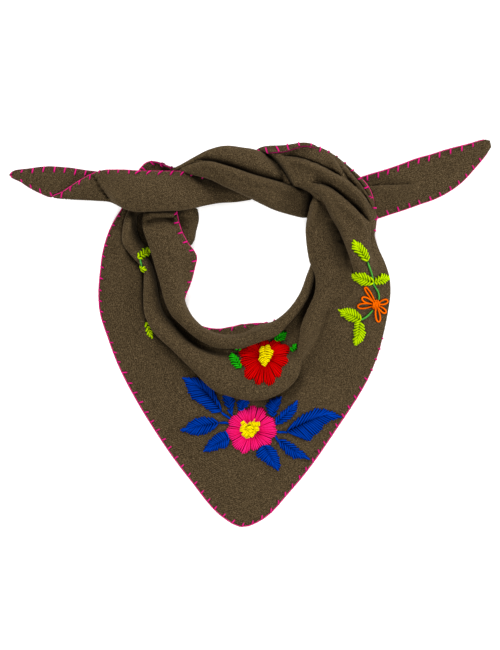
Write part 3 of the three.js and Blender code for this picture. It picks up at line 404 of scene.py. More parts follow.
# A fine grid over the net: even rows along the strand, more columns in the wide panel.
bend = strand[[firstShoulder, firstShoulder + cuts["bend"]]]
rowAt = np.concatenate([
    np.arange(0, bend[0], cloth["rowSpacing"]),
    np.arange(bend[0], bend[1], cloth["rowSpacing"] * cloth["bendSpacing"]),
    np.linspace(bend[1], strand[-1], int((strand[-1] - bend[1]) / cloth["rowSpacing"])),
])
samples = [4] * 13 + [6] * 9      # grid columns in each column of the net
columnAt = np.concatenate([np.arange(n) / n + k for k, n in enumerate(samples)] + [[outerHem]])
grid = np.empty((len(rowAt), len(columnAt), 3))
for i, row in enumerate(spline(strand, net, rowAt)):
    step = np.sqrt(np.linalg.norm(np.diff(row, axis=0), axis=1)) + 0.05
    v = np.r_[0, np.cumsum(step)]
    grid[i] = spline(v, row, np.interp(columnAt, np.arange(cloth["columns"]), v))


# The grid's row at a cut of the net, and its column at a column of the net.
def rowOf(key):
    return int(np.searchsorted(rowAt, strand[min(max(int(key), 0), len(strand) - 1)]))


def columnOf(column):
    return int(np.argmin(np.abs(columnAt - column)))


creasePoints = 80      # of each crease's smooth line
# Creases worked into the folds: the cuts and columns of the net that each one is on, its kind,
# how high and how wide it is, and its line in the plan. A fold lies over what is on its right.
creases = table("rows columns kind height width line", [
    # pleats right of the knot
    ((60, 69), (10, 19), "fold", 6, 3.4,
     [(120, 109), (116, 113.5), (110, 119.5), (104, 125.5), (98, 131), (91, 137), (84, 142.5),
      (76, 146.8), (67, 149), (58, 149.6)]),
    ((60, 67), (10, 22), "fold", 5, 3.2,
     [(122, 119), (118, 129), (112, 138), (105, 145.5), (97, 152), (89, 157.5), (80, 162), (70, 167.3),
      (60, 171.5), (50, 174.8), (40, 176.8), (27, 177.2)]),
    ((60, 67), (12, 22), "fold", 4.5, 2.8,
     [(120, 127), (114, 136.5), (108, 144), (101, 151), (95, 158), (90, 165), (85, 173), (79, 182)]),
    ((60, 67), (12, 22), "fold", 4, 2.6,
     [(122, 131), (116, 140), (110, 148.5), (104, 156), (98, 163), (92, 170), (86, 177)]),
    # the deep hollow where the neck roll goes under the knot, the pleat's near edge, a soft valley
    ((61, 67), (0, 12), "fold", 4, 3.5,
     [(64, 143), (64, 136), (62.5, 128), (60, 118), (57.5, 106)]),
    ((59, 64), (8, 22), "fold", 5, 3.2,
     [(10, 183), (20, 179), (27, 174), (34, 166), (39.5, 157.5), (44, 150), (48, 146)]),
    ((62, 71), (7, 19), "fold", 5, 4,
     [(59, 146), (66, 138.5), (73, 132), (78, 125), (82, 116), (87, 106), (92, 94), (98, 78), (103, 62)]),
    ((63, 72), (9, 19), "valley", 7, 3.2,
     [(80, 116), (85, 108), (89, 99), (93, 89), (95.5, 76), (98.5, 64)]),
    ((67, 79), (9, 21), "valley", 3, 11,
     [(84, 60), (80, 32), (74, 6), (68, -18), (62, -37), (54, -46)]),
    # the two rolls of the strand across the knot
    ((94, 105), (2, 14), "fold", 4.5, 3.4,
     [(60, 142.5), (47, 146), (35, 149.2), (21, 152.8), (5, 156.6), (-12, 163.5), (-30, 169.5),
      (-45, 172.8), (-60, 173.5)]),
    ((95, 105), (9, 16), "valley", 8, 5,
     [(10, 182), (19, 178), (26, 172), (32, 164.5), (37.5, 156.5), (42, 150)]),
    ((99, 106), (3, 13), "valley", 8, 7,
     [(62, 146), (62, 138), (61, 129), (58, 119), (56, 112)]),
    # the wide roll over the left shoulder
    ((15, 38), (9, 22), "fold", 7, 3.6,
     [(-156, 162), (-151, 155), (-146.5, 147), (-141, 140), (-135, 133), (-127, 126)]),
    # left of the collar: its curled lip, the hollow beside it and the roll beyond
    ((88, 93), (1, 7), "fold", 5.5, 3.2,
     [(-106, 113.5), (-101, 116), (-95, 117.5), (-88, 118), (-80, 118), (-73, 117.5)]),
    ((88, 93), (1, 7), "valley", 3, 6,
     [(-107, 110), (-98, 112.5), (-88, 113), (-80, 113), (-70, 113)]),
    ((84, 93), (6, 10), "valley", 8, 5,
     [(-113, 126), (-113, 115), (-112, 105), (-110, 96), (-106, 90)]),
    ((84, 93), (8, 12), "ridge", 3, 3.6,
     [(-122, 122), (-124.5, 112), (-126, 102), (-125, 93), (-121, 86)]),
    ((84, 93), (13, 22), "valley", 4, 6,
     [(-130, 126), (-133, 112), (-134, 98), (-132, 85), (-126, 74)]),
    # the right tail's crease
    ((107, 130), (4, 18), "fold", 2, 3,
     [(168, 148.6), (150, 148.4), (135, 148.2), (120, 148.5), (112, 149)]),
])


def workCrease(crease):
    i0, i1 = (rowOf(key) for key in crease["rows"])
    j0, j1 = (columnOf(column) for column in crease["columns"])
    part = grid[i0:i1 + 1, j0:j1 + 1]
    line = smoothLine(crease["line"], creasePoints)
    ahead = np.gradient(line, axis=0)
    offset = part[..., None, :2] - line
    distance = np.linalg.norm(offset, axis=3)
    nearest = np.argmin(distance, axis=2)
    near = np.take_along_axis(offset, nearest[..., None, None], 2)[..., 0, :]
    side = np.sign(ahead[nearest][..., 0] * near[..., 1] - ahead[nearest][..., 1] * near[..., 0])
    t = side * distance.min(axis=2) / crease["width"]
    if crease["kind"] == "fold":
        under = np.minimum(t, 0) * 2
        shape = np.where(t > 0, t * np.exp((1 - t * t) / 2), 0.9 * under * np.exp((1 - under * under) / 2))
    else:
        shape = np.exp(-t * t) * (1 if crease["kind"] == "ridge" else -1)
    share = nearest / (creasePoints - 1)
    fade = np.clip(np.minimum(share, 1 - share) / 0.14, 0, 1)      # to nothing at both ends
    part[..., 2] += crease["height"] * shape * fade * fade * (3 - 2 * fade)


for crease in creases:
    workCrease(crease)
grid[..., 2] = np.maximum(grid[..., 2], cloth["leastHeight"])
grid -= np.array(cloth["centre"])


# The sheet's normals, or straight up where its grid has shrunk to a point.
def gridNormals(g):
    n = np.cross(unit(np.gradient(g, axis=0)), unit(np.gradient(g, axis=1)))
    size = np.linalg.norm(n, axis=2, keepdims=True)
    return np.where(size > 0.05, n / np.maximum(size, 1e-9), (0, 0, 1))


normals = gridNormals(grid)
print("cloth grid", grid.shape, "strand", round(strand[-1]))


def newPiece(name, vertices, faces, uv=None, tone=None):
    mesh = bpy.data.meshes.new(name)
    mesh.from_pydata([tuple(v) for v in vertices], [], faces)
    if tone is not None:
        mesh.attributes.new("tone", "FLOAT", "POINT").data.foreach_set("value", tone)
    if uv is not None:
        layer = mesh.uv_layers.new(name="weave")
        corner = np.empty(len(mesh.loops), int)
        mesh.loops.foreach_get("vertex_index", corner)
        layer.data.foreach_set("uv", np.asarray(uv, float)[corner].ravel())
    mesh.polygons.foreach_set("use_smooth", [True] * len(mesh.polygons))
    mesh.update()
    piece = bpy.data.objects.new(name, mesh)
    bpy.context.scene.collection.objects.link(piece)
    return piece


# The sheet with its thickness and rounded hems, and its flat pattern as the UV map.
def buildCloth():
    rows, cols = grid.shape[:2]
    half = cloth["thickness"] / 2
    top, bottom = grid + normals * half, grid - normals * half
    outward = []      # a round rim: one more ring of points half way down
    ring = [(0, j) for j in range(cols)] + [(i, cols - 1) for i in range(1, rows)]
    ring += [(rows - 1, j) for j in range(cols - 2, -1, -1)] + [(i, 0) for i in range(rows - 2, 0, -1)]
    for i, j in ring:
        inner = grid[min(max(i, 1), rows - 2), min(max(j, 1), cols - 2)]
        away = grid[i, j] - inner
        outward.append(grid[i, j] + away / max(1e-6, np.linalg.norm(away)) * half * cloth["rim"])
    verts = np.concatenate([top.reshape(-1, 3), bottom.reshape(-1, 3), np.array(outward)]) * mm
    count = rows * cols
    faces = []
    for i in range(rows - 1):
        for j in range(cols - 1):
            a, b, c, d = i * cols + j, (i + 1) * cols + j, (i + 1) * cols + j + 1, i * cols + j + 1
            faces.append((a, b, c, d))
            faces.append((count + a, count + d, count + c, count + b))
    for k in range(len(ring)):
        n = (k + 1) % len(ring)
        a = ring[k][0] * cols + ring[k][1]
        b = ring[n][0] * cols + ring[n][1]
        ra, rb = 2 * count + k, 2 * count + n
        faces.append((a, b, rb, ra))
        faces.append((ra, rb, count + b, count + a))
    alongMm = rowAt[:, None] + np.zeros((1, cols))
    acrossMm = np.zeros((rows, cols))
    acrossMm[:, 1:] = np.cumsum(np.linalg.norm(np.diff(grid, axis=1), axis=2), axis=1)
    flatMap = np.stack([alongMm, acrossMm], 2).reshape(-1, 2) * mm
    ringMap = np.array([flatMap[i * cols + j] for i, j in ring])
    return newPiece("woolCloth", verts, faces, np.concatenate([flatMap, flatMap, ringMap]))


shadeRays = {
    "rays": 20,
    "reach": 45,             # how far a ray looks for other cloth
    "start": 0.6,            # how far off the cloth it starts
    "turn": 2.399963,        # from each ray to the next, the golden angle
}


# How far each point of the cloth lies open to the air, from rays around its normal, kept to paint shade into
# the wool's colour in creases and under folds.
def markPaintedShade(piece):
    mesh = piece.data
    tree = BVHTree.FromPolygons([tuple(v.co) for v in mesh.vertices],
                                [tuple(f.vertices) for f in mesh.polygons])
    turns = []
    for k in range(shadeRays["rays"]):
        z = math.sqrt(1 - (k + 0.5) / shadeRays["rays"])
        a = k * shadeRays["turn"]
        turns.append((math.sqrt(1 - z * z) * math.cos(a), math.sqrt(1 - z * z) * math.sin(a), z))
    shadeOpenness = np.zeros(len(mesh.vertices))
    for i, vertex in enumerate(mesh.vertices):
        n = vertex.normal
        u = n.orthogonal().normalized()
        v = n.cross(u)
        start = vertex.co + n * shadeRays["start"] * mm
        free = sum(tree.ray_cast(start, u * x + v * y + n * z, shadeRays["reach"] * mm)[0] is None
                   for x, y, z in turns)
        shadeOpenness[i] = free / shadeRays["rays"]
    mesh.attributes.new("shadeOpenness", "FLOAT", "POINT").data.foreach_set("value", shadeOpenness)


woolCloth = buildCloth()
markPaintedShade(woolCloth)
print("wool cloth", len(woolCloth.data.polygons), "faces")


# Feeds a node's inputs, by name or number, each with a value or with another node's output.
def feed(tree, node, feeds):
    for key, value in feeds.items():
        if isinstance(value, bpy.types.NodeSocket):
            tree.links.new(value, node.inputs[key])
        else:
            node.inputs[key].default_value = value


def addNode(tree, kind, feeds=None, **settings):
    node = tree.nodes.new(kind)
    for key, value in settings.items():
        setattr(node, key, value)
    feed(tree, node, feeds or {})
    return node


def addMath(tree, operation, *terms):
    return addNode(tree, "ShaderNodeMath", dict(enumerate(terms)), operation=operation).outputs[0]


def multiplied(tree, first, second, share=1.0):
    mix = addNode(tree, "ShaderNodeMix", {0: share, 6: first, 7: second},
                  data_type="RGBA", blend_type="MULTIPLY")
    return mix.outputs[2]


def ramp(tree, value, stops):
    node = addNode(tree, "ShaderNodeValToRGB", {0: value})
    elements = node.color_ramp.elements
    elements[0].position, elements[0].color = stops[0]
    elements[1].position, elements[1].color = stops[-1]
    for position, color in stops[1:-1]:
        elements.new(position).color = color
    return node.outputs[0]


def linear(hexCode):
    rgb = [int(hexCode[i:i + 2], 16) / 255 for i in (1, 3, 5)]
    return [c / 12.92 if c <= 0.04045 else ((c + 0.055) / 1.055) ** 2.4 for c in rgb] + [1]


def grey(value):
    return (value, value, value, 1)


# A group that takes a place and two numbers, and gives a shade and a height.
def newGroup(name, numbers):
    group = bpy.data.node_groups.new(name, "ShaderNodeTree")
    group.interface.new_socket("Vector", in_out="INPUT", socket_type="NodeSocketVector")
    for label, value in numbers.items():
        group.interface.new_socket(label, in_out="INPUT", socket_type="NodeSocketFloat").default_value = value
    for label in ("Shade", "Height"):
        group.interface.new_socket(label, in_out="OUTPUT", socket_type="NodeSocketFloat")
    return group, group.nodes.new("NodeGroupInput").outputs


def newMaterial(name):
    material = bpy.data.materials.new(name)
    material.use_nodes = True
    return material, material.node_tree, material.node_tree.nodes["Principled BSDF"]


# Short matted fibres: fine grain over soft clumps.
fibreGroup, given = newGroup("mattedFibre", {"Grain": 900.0, "Clump": 120.0})
fine = addNode(fibreGroup, "ShaderNodeTexNoise",
               {"Vector": given["Vector"], "Scale": given["Grain"], "Detail": 3.0, "Roughness": 0.65})
clump = addNode(fibreGroup, "ShaderNodeTexNoise",
                {"Vector": given["Vector"], "Scale": given["Clump"], "Detail": 4.0, "Roughness": 0.6})
matted = addMath(fibreGroup, "MULTIPLY_ADD", clump.outputs["Fac"], 0.35,
                 addMath(fibreGroup, "MULTIPLY", fine.outputs["Fac"], 0.65))
addNode(fibreGroup, "NodeGroupOutput", {"Shade": matted, "Height": matted})

# Plies of a thread, winding round it: a wave for their height, also painted into the colour as light on each
# ply and shade between.
plyGroup, given = newGroup("twistedPly", {"Turns": 700.0, "Plies": 3.0})
split = addNode(plyGroup, "ShaderNodeSeparateXYZ", {0: given["Vector"]}).outputs
phase = addMath(plyGroup, "ADD", addMath(plyGroup, "MULTIPLY", split["X"], given["Turns"]),
                addMath(plyGroup, "MULTIPLY", split["Y"], given["Plies"]))
wave = addMath(plyGroup, "SINE", addMath(plyGroup, "MULTIPLY", phase, 2 * math.pi))
plies = addMath(plyGroup, "MULTIPLY_ADD", wave, 0.5, 0.5)
addNode(plyGroup, "NodeGroupOutput", {"Shade": plies, "Height": plies})

wool = {
    "dark": "#1b140b",
    "middle": "#3f3321",
    "light": "#786549",
    "nap": "#b09a78",
    "roughness": 0.95,
    "sheen": 0.14,
    "grain": 1500,
    "clump": 820,
    "twill": 330,          # diagonal ribs of the weave below the felt, about 1.4 mm apart
    "twillShare": 0.045,   # how much the ribs and the worn patches show
    "patchShare": 0.2,
    "patchScale": 22.0,
    "bump": 0.0009,
}


def woolMaterial():
    material, tree, shader = newMaterial("feltedWool")
    spot = addNode(tree, "ShaderNodeTexCoord").outputs["Object"]
    fibre = addNode(tree, "ShaderNodeGroup", {"Vector": spot, "Grain": wool["grain"], "Clump": wool["clump"]},
                    node_tree=fibreGroup).outputs
    flat = addNode(tree, "ShaderNodeUVMap", uv_map="weave").outputs[0]
    twill = addNode(tree, "ShaderNodeTexWave",
                    {"Vector": flat, "Scale": wool["twill"], "Distortion": 1.5, "Detail": 2.0,
                     "Detail Scale": 2.0}, wave_type="BANDS", bands_direction="DIAGONAL")
    ribbed = addMath(tree, "MULTIPLY_ADD", twill.outputs["Fac"], wool["twillShare"], fibre["Shade"])
    tone = ramp(tree, ribbed, [(0.38, linear(wool["dark"])), (0.53, linear(wool["middle"])),
                               (0.69, linear(wool["light"]))])
    clouds = addNode(tree, "ShaderNodeTexNoise",
                     {"Vector": spot, "Scale": wool["patchScale"], "Detail": 3.0})
    patches = ramp(tree, clouds.outputs["Fac"], [(0.3, grey(0.72)), (0.7, grey(1))])
    patchy = multiplied(tree, tone, patches, wool["patchShare"])
    # painted shade: the wool's colour darkens where the cloth is shut in by other cloth, nearly to black in
    # the deepest creases
    air = addNode(tree, "ShaderNodeAttribute", attribute_name="shadeOpenness").outputs["Fac"]
    paintedHollowShade = ramp(tree, air, [(0.1, grey(0.05)), (0.34, grey(0.46)), (0.62, grey(1))])
    bump = addNode(tree, "ShaderNodeBump",
                   {"Strength": 0.7, "Distance": wool["bump"], "Height": fibre["Height"]})
    feed(tree, shader, {
        "Base Color": multiplied(tree, patchy, paintedHollowShade),
        "Normal": bump.outputs[0],
        "Roughness": wool["roughness"],
        "Specular IOR Level": 0.05,
        "Sheen Weight": wool["sheen"],
        "Sheen Roughness": 0.5,
        "Sheen Tint": linear(wool["nap"]),
    })
    return material


yarn = {
    "roughness": 0.7,
    "grain": 1500,
    "clump": 260,
    "plyShare": 0.16,        # how much the plies' painted light and shade, the fibres, and each strand's random tone with its painted shade show
    "fibreShare": 0.2,
    "toneAndShadeShare": 0.8,
    "bump": 0.00025,
}


def threadMaterial(name, dark, light, middle=None):
    material, tree, shader = newMaterial(name)
    flat = addNode(tree, "ShaderNodeUVMap", uv_map="weave").outputs[0]
    ply = addNode(tree, "ShaderNodeGroup", {"Vector": flat}, node_tree=plyGroup).outputs
    spot = addNode(tree, "ShaderNodeTexCoord").outputs["Object"]
    fibre = addNode(tree, "ShaderNodeGroup", {"Vector": spot, "Grain": yarn["grain"], "Clump": yarn["clump"]},
                    node_tree=fibreGroup).outputs
    both = addMath(tree, "MULTIPLY_ADD", ply["Shade"], yarn["plyShare"],
                   addMath(tree, "MULTIPLY", fibre["Shade"], yarn["fibreShare"]))
    # the strand's tone attribute: a random tone with painted shade on its flanks and ends and a painted
    # highlight on its crest
    toneAndShade = addNode(tree, "ShaderNodeAttribute", attribute_name="tone").outputs["Fac"]
    depth = addMath(tree, "MULTIPLY_ADD", toneAndShade, yarn["toneAndShadeShare"], both)
    stops = [(0.2, linear(dark)), (0.95, linear(light))]
    if middle:
        stops.insert(1, (0.52, linear(middle)))
    bump = addNode(tree, "ShaderNodeBump", {"Strength": 0.5, "Distance": yarn["bump"], "Height": both})
    feed(tree, shader, {
        "Base Color": ramp(tree, depth, stops),
        "Normal": bump.outputs[0],
        "Roughness": yarn["roughness"],
        "Specular IOR Level": 0.0,
    })
    return material


woolCloth.data.materials.append(woolMaterial())

stitching = {
    "blue": 2.4,             # width of a strand of wool in the blue leaves
    "green": 2.4,
    "lime": 2.6,
    "blueStem": 2.3,
    "greenStem": 1.9,
    "centre": 1.8,
    "centreHeight": 1.5,
    "satinHeight": 2.1,
    "pitch": 0.96,           # between strands, as a share of their width
    "leafPitch": 0.89,       # the same in a leaf, measured square to its strands
    "centrePitch": 0.85,
    "slant": 0.2,            # how far behind its outer end a leaf's strand leaves the rib
    "lift": 0.9,
    "lobeGap": 0.03,         # between two lobes of a flower, as an angle
    "sides": 8,
}
# Painted shade and highlight of a strand: how light it is painted along its length, and on its flanks against
# its crest.
plainLook = ((0.3, 0.65, 1, 1, 0.7), 0.45)
leafLook = ((0, 0.5, 1, 1, 0.8), 0.36)
petalLook = ((0.2, 0.35, 0.75, 1, 0.8), 0.48)
shortCuts = (0.04, 0.14, 0.32, 0.5, 0.68, 0.86, 0.96)
longCuts = (0.03, 0.1, 0.18, 0.26, 0.34, 0.42, 0.55, 0.7, 0.85, 0.97)
loopCuts = tuple(0.02 + 0.96 * k / 21 for k in range(22))
random.seed(5)


# One straight strand along Z, cut into rings; every stitch bends a copy of it.
def makeStrand(cuts):
    bpy.ops.mesh.primitive_cylinder_add(vertices=stitching["sides"], radius=0.5, depth=1,
                                        end_fill_type="TRIFAN", location=(0, 0, 0.5))
    shape = bpy.context.active_object
    bpy.ops.object.transform_apply(location=True, rotation=True, scale=True)
    bpy.ops.object.mode_set(mode="EDIT")
    for cut in cuts:
        bpy.ops.mesh.select_all(action="SELECT")
        bpy.ops.mesh.bisect(plane_co=(0, 0, cut), plane_no=(0, 0, 1))
    bpy.ops.object.mode_set(mode="OBJECT")
    points = np.array([v.co for v in shape.data.vertices])
    faces = [tuple(p.vertices) for p in shape.data.polygons]
    bpy.data.objects.remove(shape, do_unlink=True)
    return points, faces


shortStrand, longStrand, loopStrand = (makeStrand(cuts) for cuts in (shortCuts, longCuts, loopCuts))


# The top of one layer of the cloth, to lay stitches on.
def layerTree(firstKey, lastKey, firstColumn, lastColumn):
    i0, i1 = rowOf(firstKey), rowOf(lastKey)
    j0, j1 = columnOf(firstColumn), columnOf(lastColumn)
    part = (grid + normals * cloth["thickness"] / 2)[i0:i1 + 1, j0:j1 + 1]
    rows, cols = part.shape[:2]
    faces = [(i * cols + j, (i + 1) * cols + j, (i + 1) * cols + j + 1, i * cols + j + 1)
             for i in range(rows - 1) for j in range(cols - 1)]
    return BVHTree.FromPolygons([tuple(p) for p in part.reshape(-1, 3)], faces)


layers = {
    "panel": layerTree(firstSwag - 6, firstCrossing - 4, 13, 22),
    "pocket": layerTree(firstSwag - 3, firstCrossing - 4, 5.5, 10),
    "side": layerTree(firstShoulder + 5, firstSwag + 1, 12, 21),
}


# The point of the cloth at a place in the plan, and its normal, turned up.
def onCloth(layer, x, y):
    cx, cy = cloth["centre"][:2]
    hit = layers[layer].ray_cast(Vector((x - cx, y - cy, 100)), Vector((0, 0, -1)))
    if hit[0] is None:
        hit = layers[layer].find_nearest(Vector((x - cx, y - cy, 12)))
    n = hit[1] if hit[1].z > 0 else -hit[1]
    return np.array(hit[0]), np.array(n)


# Threads gathered into one mesh.
class Stitches:

    def __init__(self):
        self.vertices, self.faces, self.uv, self.tone = [], [], [], []
        self.count = 0

    # Bends a copy of the strand along a path of points in the part's own frame.
    def strand(self, path, ups, width, height, blunt=0.6, shape=shortStrand, look=plainLook):
        path, ups = np.asarray(path, float), np.asarray(ups, float)
        points, faces = shape
        shading, flank = look
        along = distances(path)
        length = along[-1]
        if length < 0.3:
            return
        s = points[:, 2]
        ahead = pointAt(path, along, np.minimum(1, s + 0.03) * length).T
        behind = pointAt(path, along, np.maximum(0, s - 0.03) * length).T
        forward = unit(ahead - behind)
        side = unit(np.cross(pointAt(ups, along, s * length).T, forward))
        up = np.cross(forward, side)
        thin = np.interp(np.minimum(s, 1 - s), (0, 0.04, 0.14, 0.32),
                         (blunt * 0.6, lerp(blunt, 1, 0.4), 0.95, 1))[:, None]      # rounded ends
        self.vertices.append(pointAt(path, along, s * length).T + side * (points[:, :1] * width * thin)
                             + up * (points[:, 1:2] * height * thin))
        angle = np.arctan2(points[:, 1], points[:, 0]) / (2 * math.pi)
        self.uv.append(np.stack([s * length * mm, angle], 1))
        # painted shade on the flanks and where it comes out of the cloth, painted highlight on the crest, and
        # a random tone for each strand
        high = np.interp(points[:, 1] * 2, (-1, 0.1, 0.7, 1), (0, 0, flank, 1))
        self.tone.append(random.uniform(0.75, 1) * high * np.interp(s, (0, 0.08, 0.35, 0.9, 1), shading))
        self.faces += [tuple(v + self.count for v in face) for face in faces]
        self.count += len(points)

    # One stitch over the cloth between two points of the plan, a little bowed.
    def laid(self, layer, start, end, width, height, lift, sink=0.5, look=plainLook):
        start, end = np.array(start), np.array(end)
        aside = np.array((start[1] - end[1], end[0] - start[0])) * random.uniform(-0.03, 0.03)
        path, ups = [], []
        for s in (0, 0.07, 0.25, 0.5, 0.75, 0.93, 1):
            point, n = onCloth(layer, *(lerp(start, end, s) + aside * math.sin(math.pi * s)))
            rise = height * 0.35 + lift * math.sin(math.pi * s) ** 0.6 if 0 < s < 1 else -sink
            path.append(point + n * rise)
            ups.append(n)
        self.strand(path, ups, width, height, 0.9, look=look)

    def piece(self, name, material):
        made = newPiece(name, np.concatenate(self.vertices) * mm, self.faces, np.concatenate(self.uv),
                        np.concatenate(self.tone))
        made.data.materials.append(material)
        return made


# The point at a share of a line's length.
def edgePoint(line, s):
    line = np.asarray(line, float)
    along = distances(line)
    return pointAt(line, along, s * along[-1])


# How far a point is from a line.
def offLine(point, start, direction):
    dx, dy = point - start
    return abs(direction[0] * dy - direction[1] * dx)


# A point so far out from a flower's middle.
def around(head, radius, angle):
    return head["x"] + radius * math.cos(angle), head["y"] + radius * math.sin(angle)


# The first stitch of a leaf's side: the furthest one from the base that leaves no cloth bare behind it.
def firstStitch(rib, edge, wide):
    first = 0.04
    for s in np.arange(0.05, stitching["slant"], 0.01):
        out = edgePoint(edge, s) - rib[0]
        out /= np.linalg.norm(out)
        if all(offLine(edgePoint(edge, t), rib[0], out) < wide * 0.45 for t in np.arange(0.03, s, 0.03)):
            first = s
    return first


# A satin leaf: stitches run from the rib outwards and towards the tip, each beside the last.
def leafStitches(layer, leaf, wide):
    stitches = Stitches()
    rib, slant, height = leaf["rib"], stitching["slant"], stitching["satinHeight"]
    for edge in (leaf["left"], leaf["right"]):
        edge = [rib[0]] + edge + [rib[-1]]
        last, k = None, 0
        for s in np.arange(firstStitch(rib, edge, wide), 1, 0.006):
            outer, inner = edgePoint(edge, s), edgePoint(rib, max(0.0, s - slant))
            across = outer - inner
            span = np.linalg.norm(across)
            if span < 1.5:
                continue
            if last is not None:
                beside = max(offLine(outer, *last), offLine(inner, *last))
                if beside < wide * stitching["leafPitch"]:
                    continue
            last, k = (inner, across / span), k + 1
            near = min(1, span / 6)      # less tooth and lift on a short stitch
            tooth = 0.2 * wide * (1 - k % 3) + random.uniform(-0.3, 0.3)
            stitches.laid(layer, inner, inner + across * (1 + tooth * near / span), wide, height,
                          stitching["lift"] * near, look=leafLook)
        stitches.laid(layer, edgePoint(rib, 1 - slant), rib[-1], wide, height, 0.8)
    return stitches


# How far a flower reaches at an angle.
def ringRadius(head, angle):
    radii = head["radii"]
    t = (angle / (2 * math.pi)) % 1 * len(radii)
    k = int(t) % len(radii)
    return lerp(radii[k], radii[(k + 1) % len(radii)], t - int(t))


# Petals: radial satin stitches in uneven lobes, with rounded ends.
def headStitches(layer, head):
    stitches = Stitches()
    angle = head["turn"]
    end = angle + 2 * math.pi
    while angle < end - 0.05:
        threadsIn = random.choice((5, 6, 6, 7, 8))
        lift = random.uniform(0.85, 1.2)
        for k in range(threadsIn):
            share = (k + 0.5) / threadsIn
            radius = ringRadius(head, angle)
            notch = 1 - head["notch"] * abs(2 * share - 1) ** 2.6 + random.uniform(-0.015, 0.015)
            inner = head["hole"] * (0.5 if k % 2 == 0 else 0.8) + random.uniform(-0.6, 0.8)
            stitches.laid(layer, around(head, inner, angle + 0.07 * (0.5 - share)),
                          around(head, radius * notch + 0.8, angle), head["thread"], stitching["satinHeight"],
                          stitching["lift"] * lift * (1.25 - 0.7 * abs(2 * share - 1)), look=petalLook)
            angle += head["thread"] * stitching["pitch"] / radius
        angle += stitching["lobeGap"]
    return stitches


# A flower's centre: a bed of stitches that fills its outline, and small heaped bundles over it.
# A row is y and its two ends, a bundle x, y, length, angle in degrees and number of threads.
def centreStitches(layer, centre):
    stitches = Stitches()
    width, height = stitching["centre"], stitching["centreHeight"]
    pitch = width * stitching["centrePitch"]
    downs, lefts, rights = np.array(centre["rows"]).T * [[-1], [1], [1]]
    for k in range(int((downs[-1] - downs[0]) / pitch) + 1):
        y = -downs[0] - k * pitch
        stitches.laid(layer, (np.interp(-y, downs, lefts), y - 0.5), (np.interp(-y, downs, rights), y + 0.5),
                      width, height, 0.9)
    for x, y, length, degrees, threads in centre["bundles"]:
        c, s = math.cos(math.radians(degrees)), math.sin(math.radians(degrees))
        for k in range(threads):
            off = (k - (threads - 1) / 2) * pitch
            cx, cy = x - s * off, y + c * off
            hang = length / 2 * (1 - 0.18 * abs(off) / 3)
            stitches.laid(layer, (cx - c * hang, cy - s * hang), (cx + c * hang, cy + s * hang),
                          width, height, 2.3, sink=-0.4)
    return stitches


# Lazy daisy: each petal is one loop of thread out of the centre, round its tip and back.
def loopStitches(layer, daisy):
    stitches = Stitches()
    x, y, thread = daisy["x"], daisy["y"], daisy["thread"]
    for tipX, tipY, wide in daisy["tips"]:
        reachOut = math.hypot(tipX - x, tipY - y)
        ux, uy = (tipX - x) / reachOut, (tipY - y) / reachOut
        start, half = daisy["radius"] * 0.7, (wide - thread) / 2
        loop = []
        for k in range(daisy["points"] + 1):
            a = 2 * math.pi * k / daisy["points"]
            share = 0.5 - 0.5 * math.cos(a)
            out = start + (reachOut - thread / 2 - start) * share
            off = half * math.copysign(abs(math.sin(a)) ** 0.9, math.sin(a)) * (0.62 + 0.5 * share)
            loop.append((x + ux * out - uy * off, y + uy * out + ux * off))
        path, ups = zip(*(onCloth(layer, *spot) for spot in loop))
        path = [point + n * 0.7 for point, n in zip(path, ups)]
        stitches.strand(path, ups, thread, thread * 0.9, 0.9, loopStrand)
    for k in range(5):
        off = (k - 2) * 1.5
        hang = daisy["radius"] * math.sqrt(max(0.1, 1 - (off / 4) ** 2)) * 1.15
        stitches.laid(layer, (x + off - 0.3 * hang, y - hang), (x + off + 0.1 * hang, y + hang),
                      stitching["centre"], 1.7, 1.4)
    return stitches


# Stem stitch: short overlapping stitches, each a little across the line.
def stemStitches(layer, points, width):
    stitches = Stitches()
    line = smoothLine(points, 60)
    along = distances(line)
    step, size = 2.4, 5.2
    count = max(2, int((along[-1] - 1) / step))
    for k in range(count):
        start = pointAt(line, along, k * step)
        end = pointAt(line, along, min(along[-1], k * step + size))
        ahead = unit(end - start)
        across = 0.35 * np.array((-ahead[1], ahead[0]))
        stitches.laid(layer, start + across, end - across, width, width * 0.85, 0.35, sink=0.3)
    return stitches


# Each thread's dark colour is painted shade, shown on flanks, ends and leaf ribs, and its light colour the
# painted highlight on the crest; the pink's red middle shows where the painted shade is half way, near the
# flower's middle and on the flanks.
threads = {
    "pink": threadMaterial("pinkThread", "#4c0020", "#f22488", "#c60a46"),
    "red": threadMaterial("redThread", "#3c0000", "#da0404"),
    "yellow": threadMaterial("yellowThread", "#785000", "#ffec00"),
    "blue": threadMaterial("blueThread", "#000218", "#003aa6"),
    "green": threadMaterial("greenThread", "#022c04", "#1cb40e"),
    "lime": threadMaterial("limeThread", "#304c00", "#b8dc00"),
    "stem": threadMaterial("stemThread", "#103410", "#50a83e"),
    "orange": threadMaterial("orangeThread", "#5c1a00", "#ff6c00"),
    "magenta": threadMaterial("magentaThread", "#640838", "#e62080"),
}

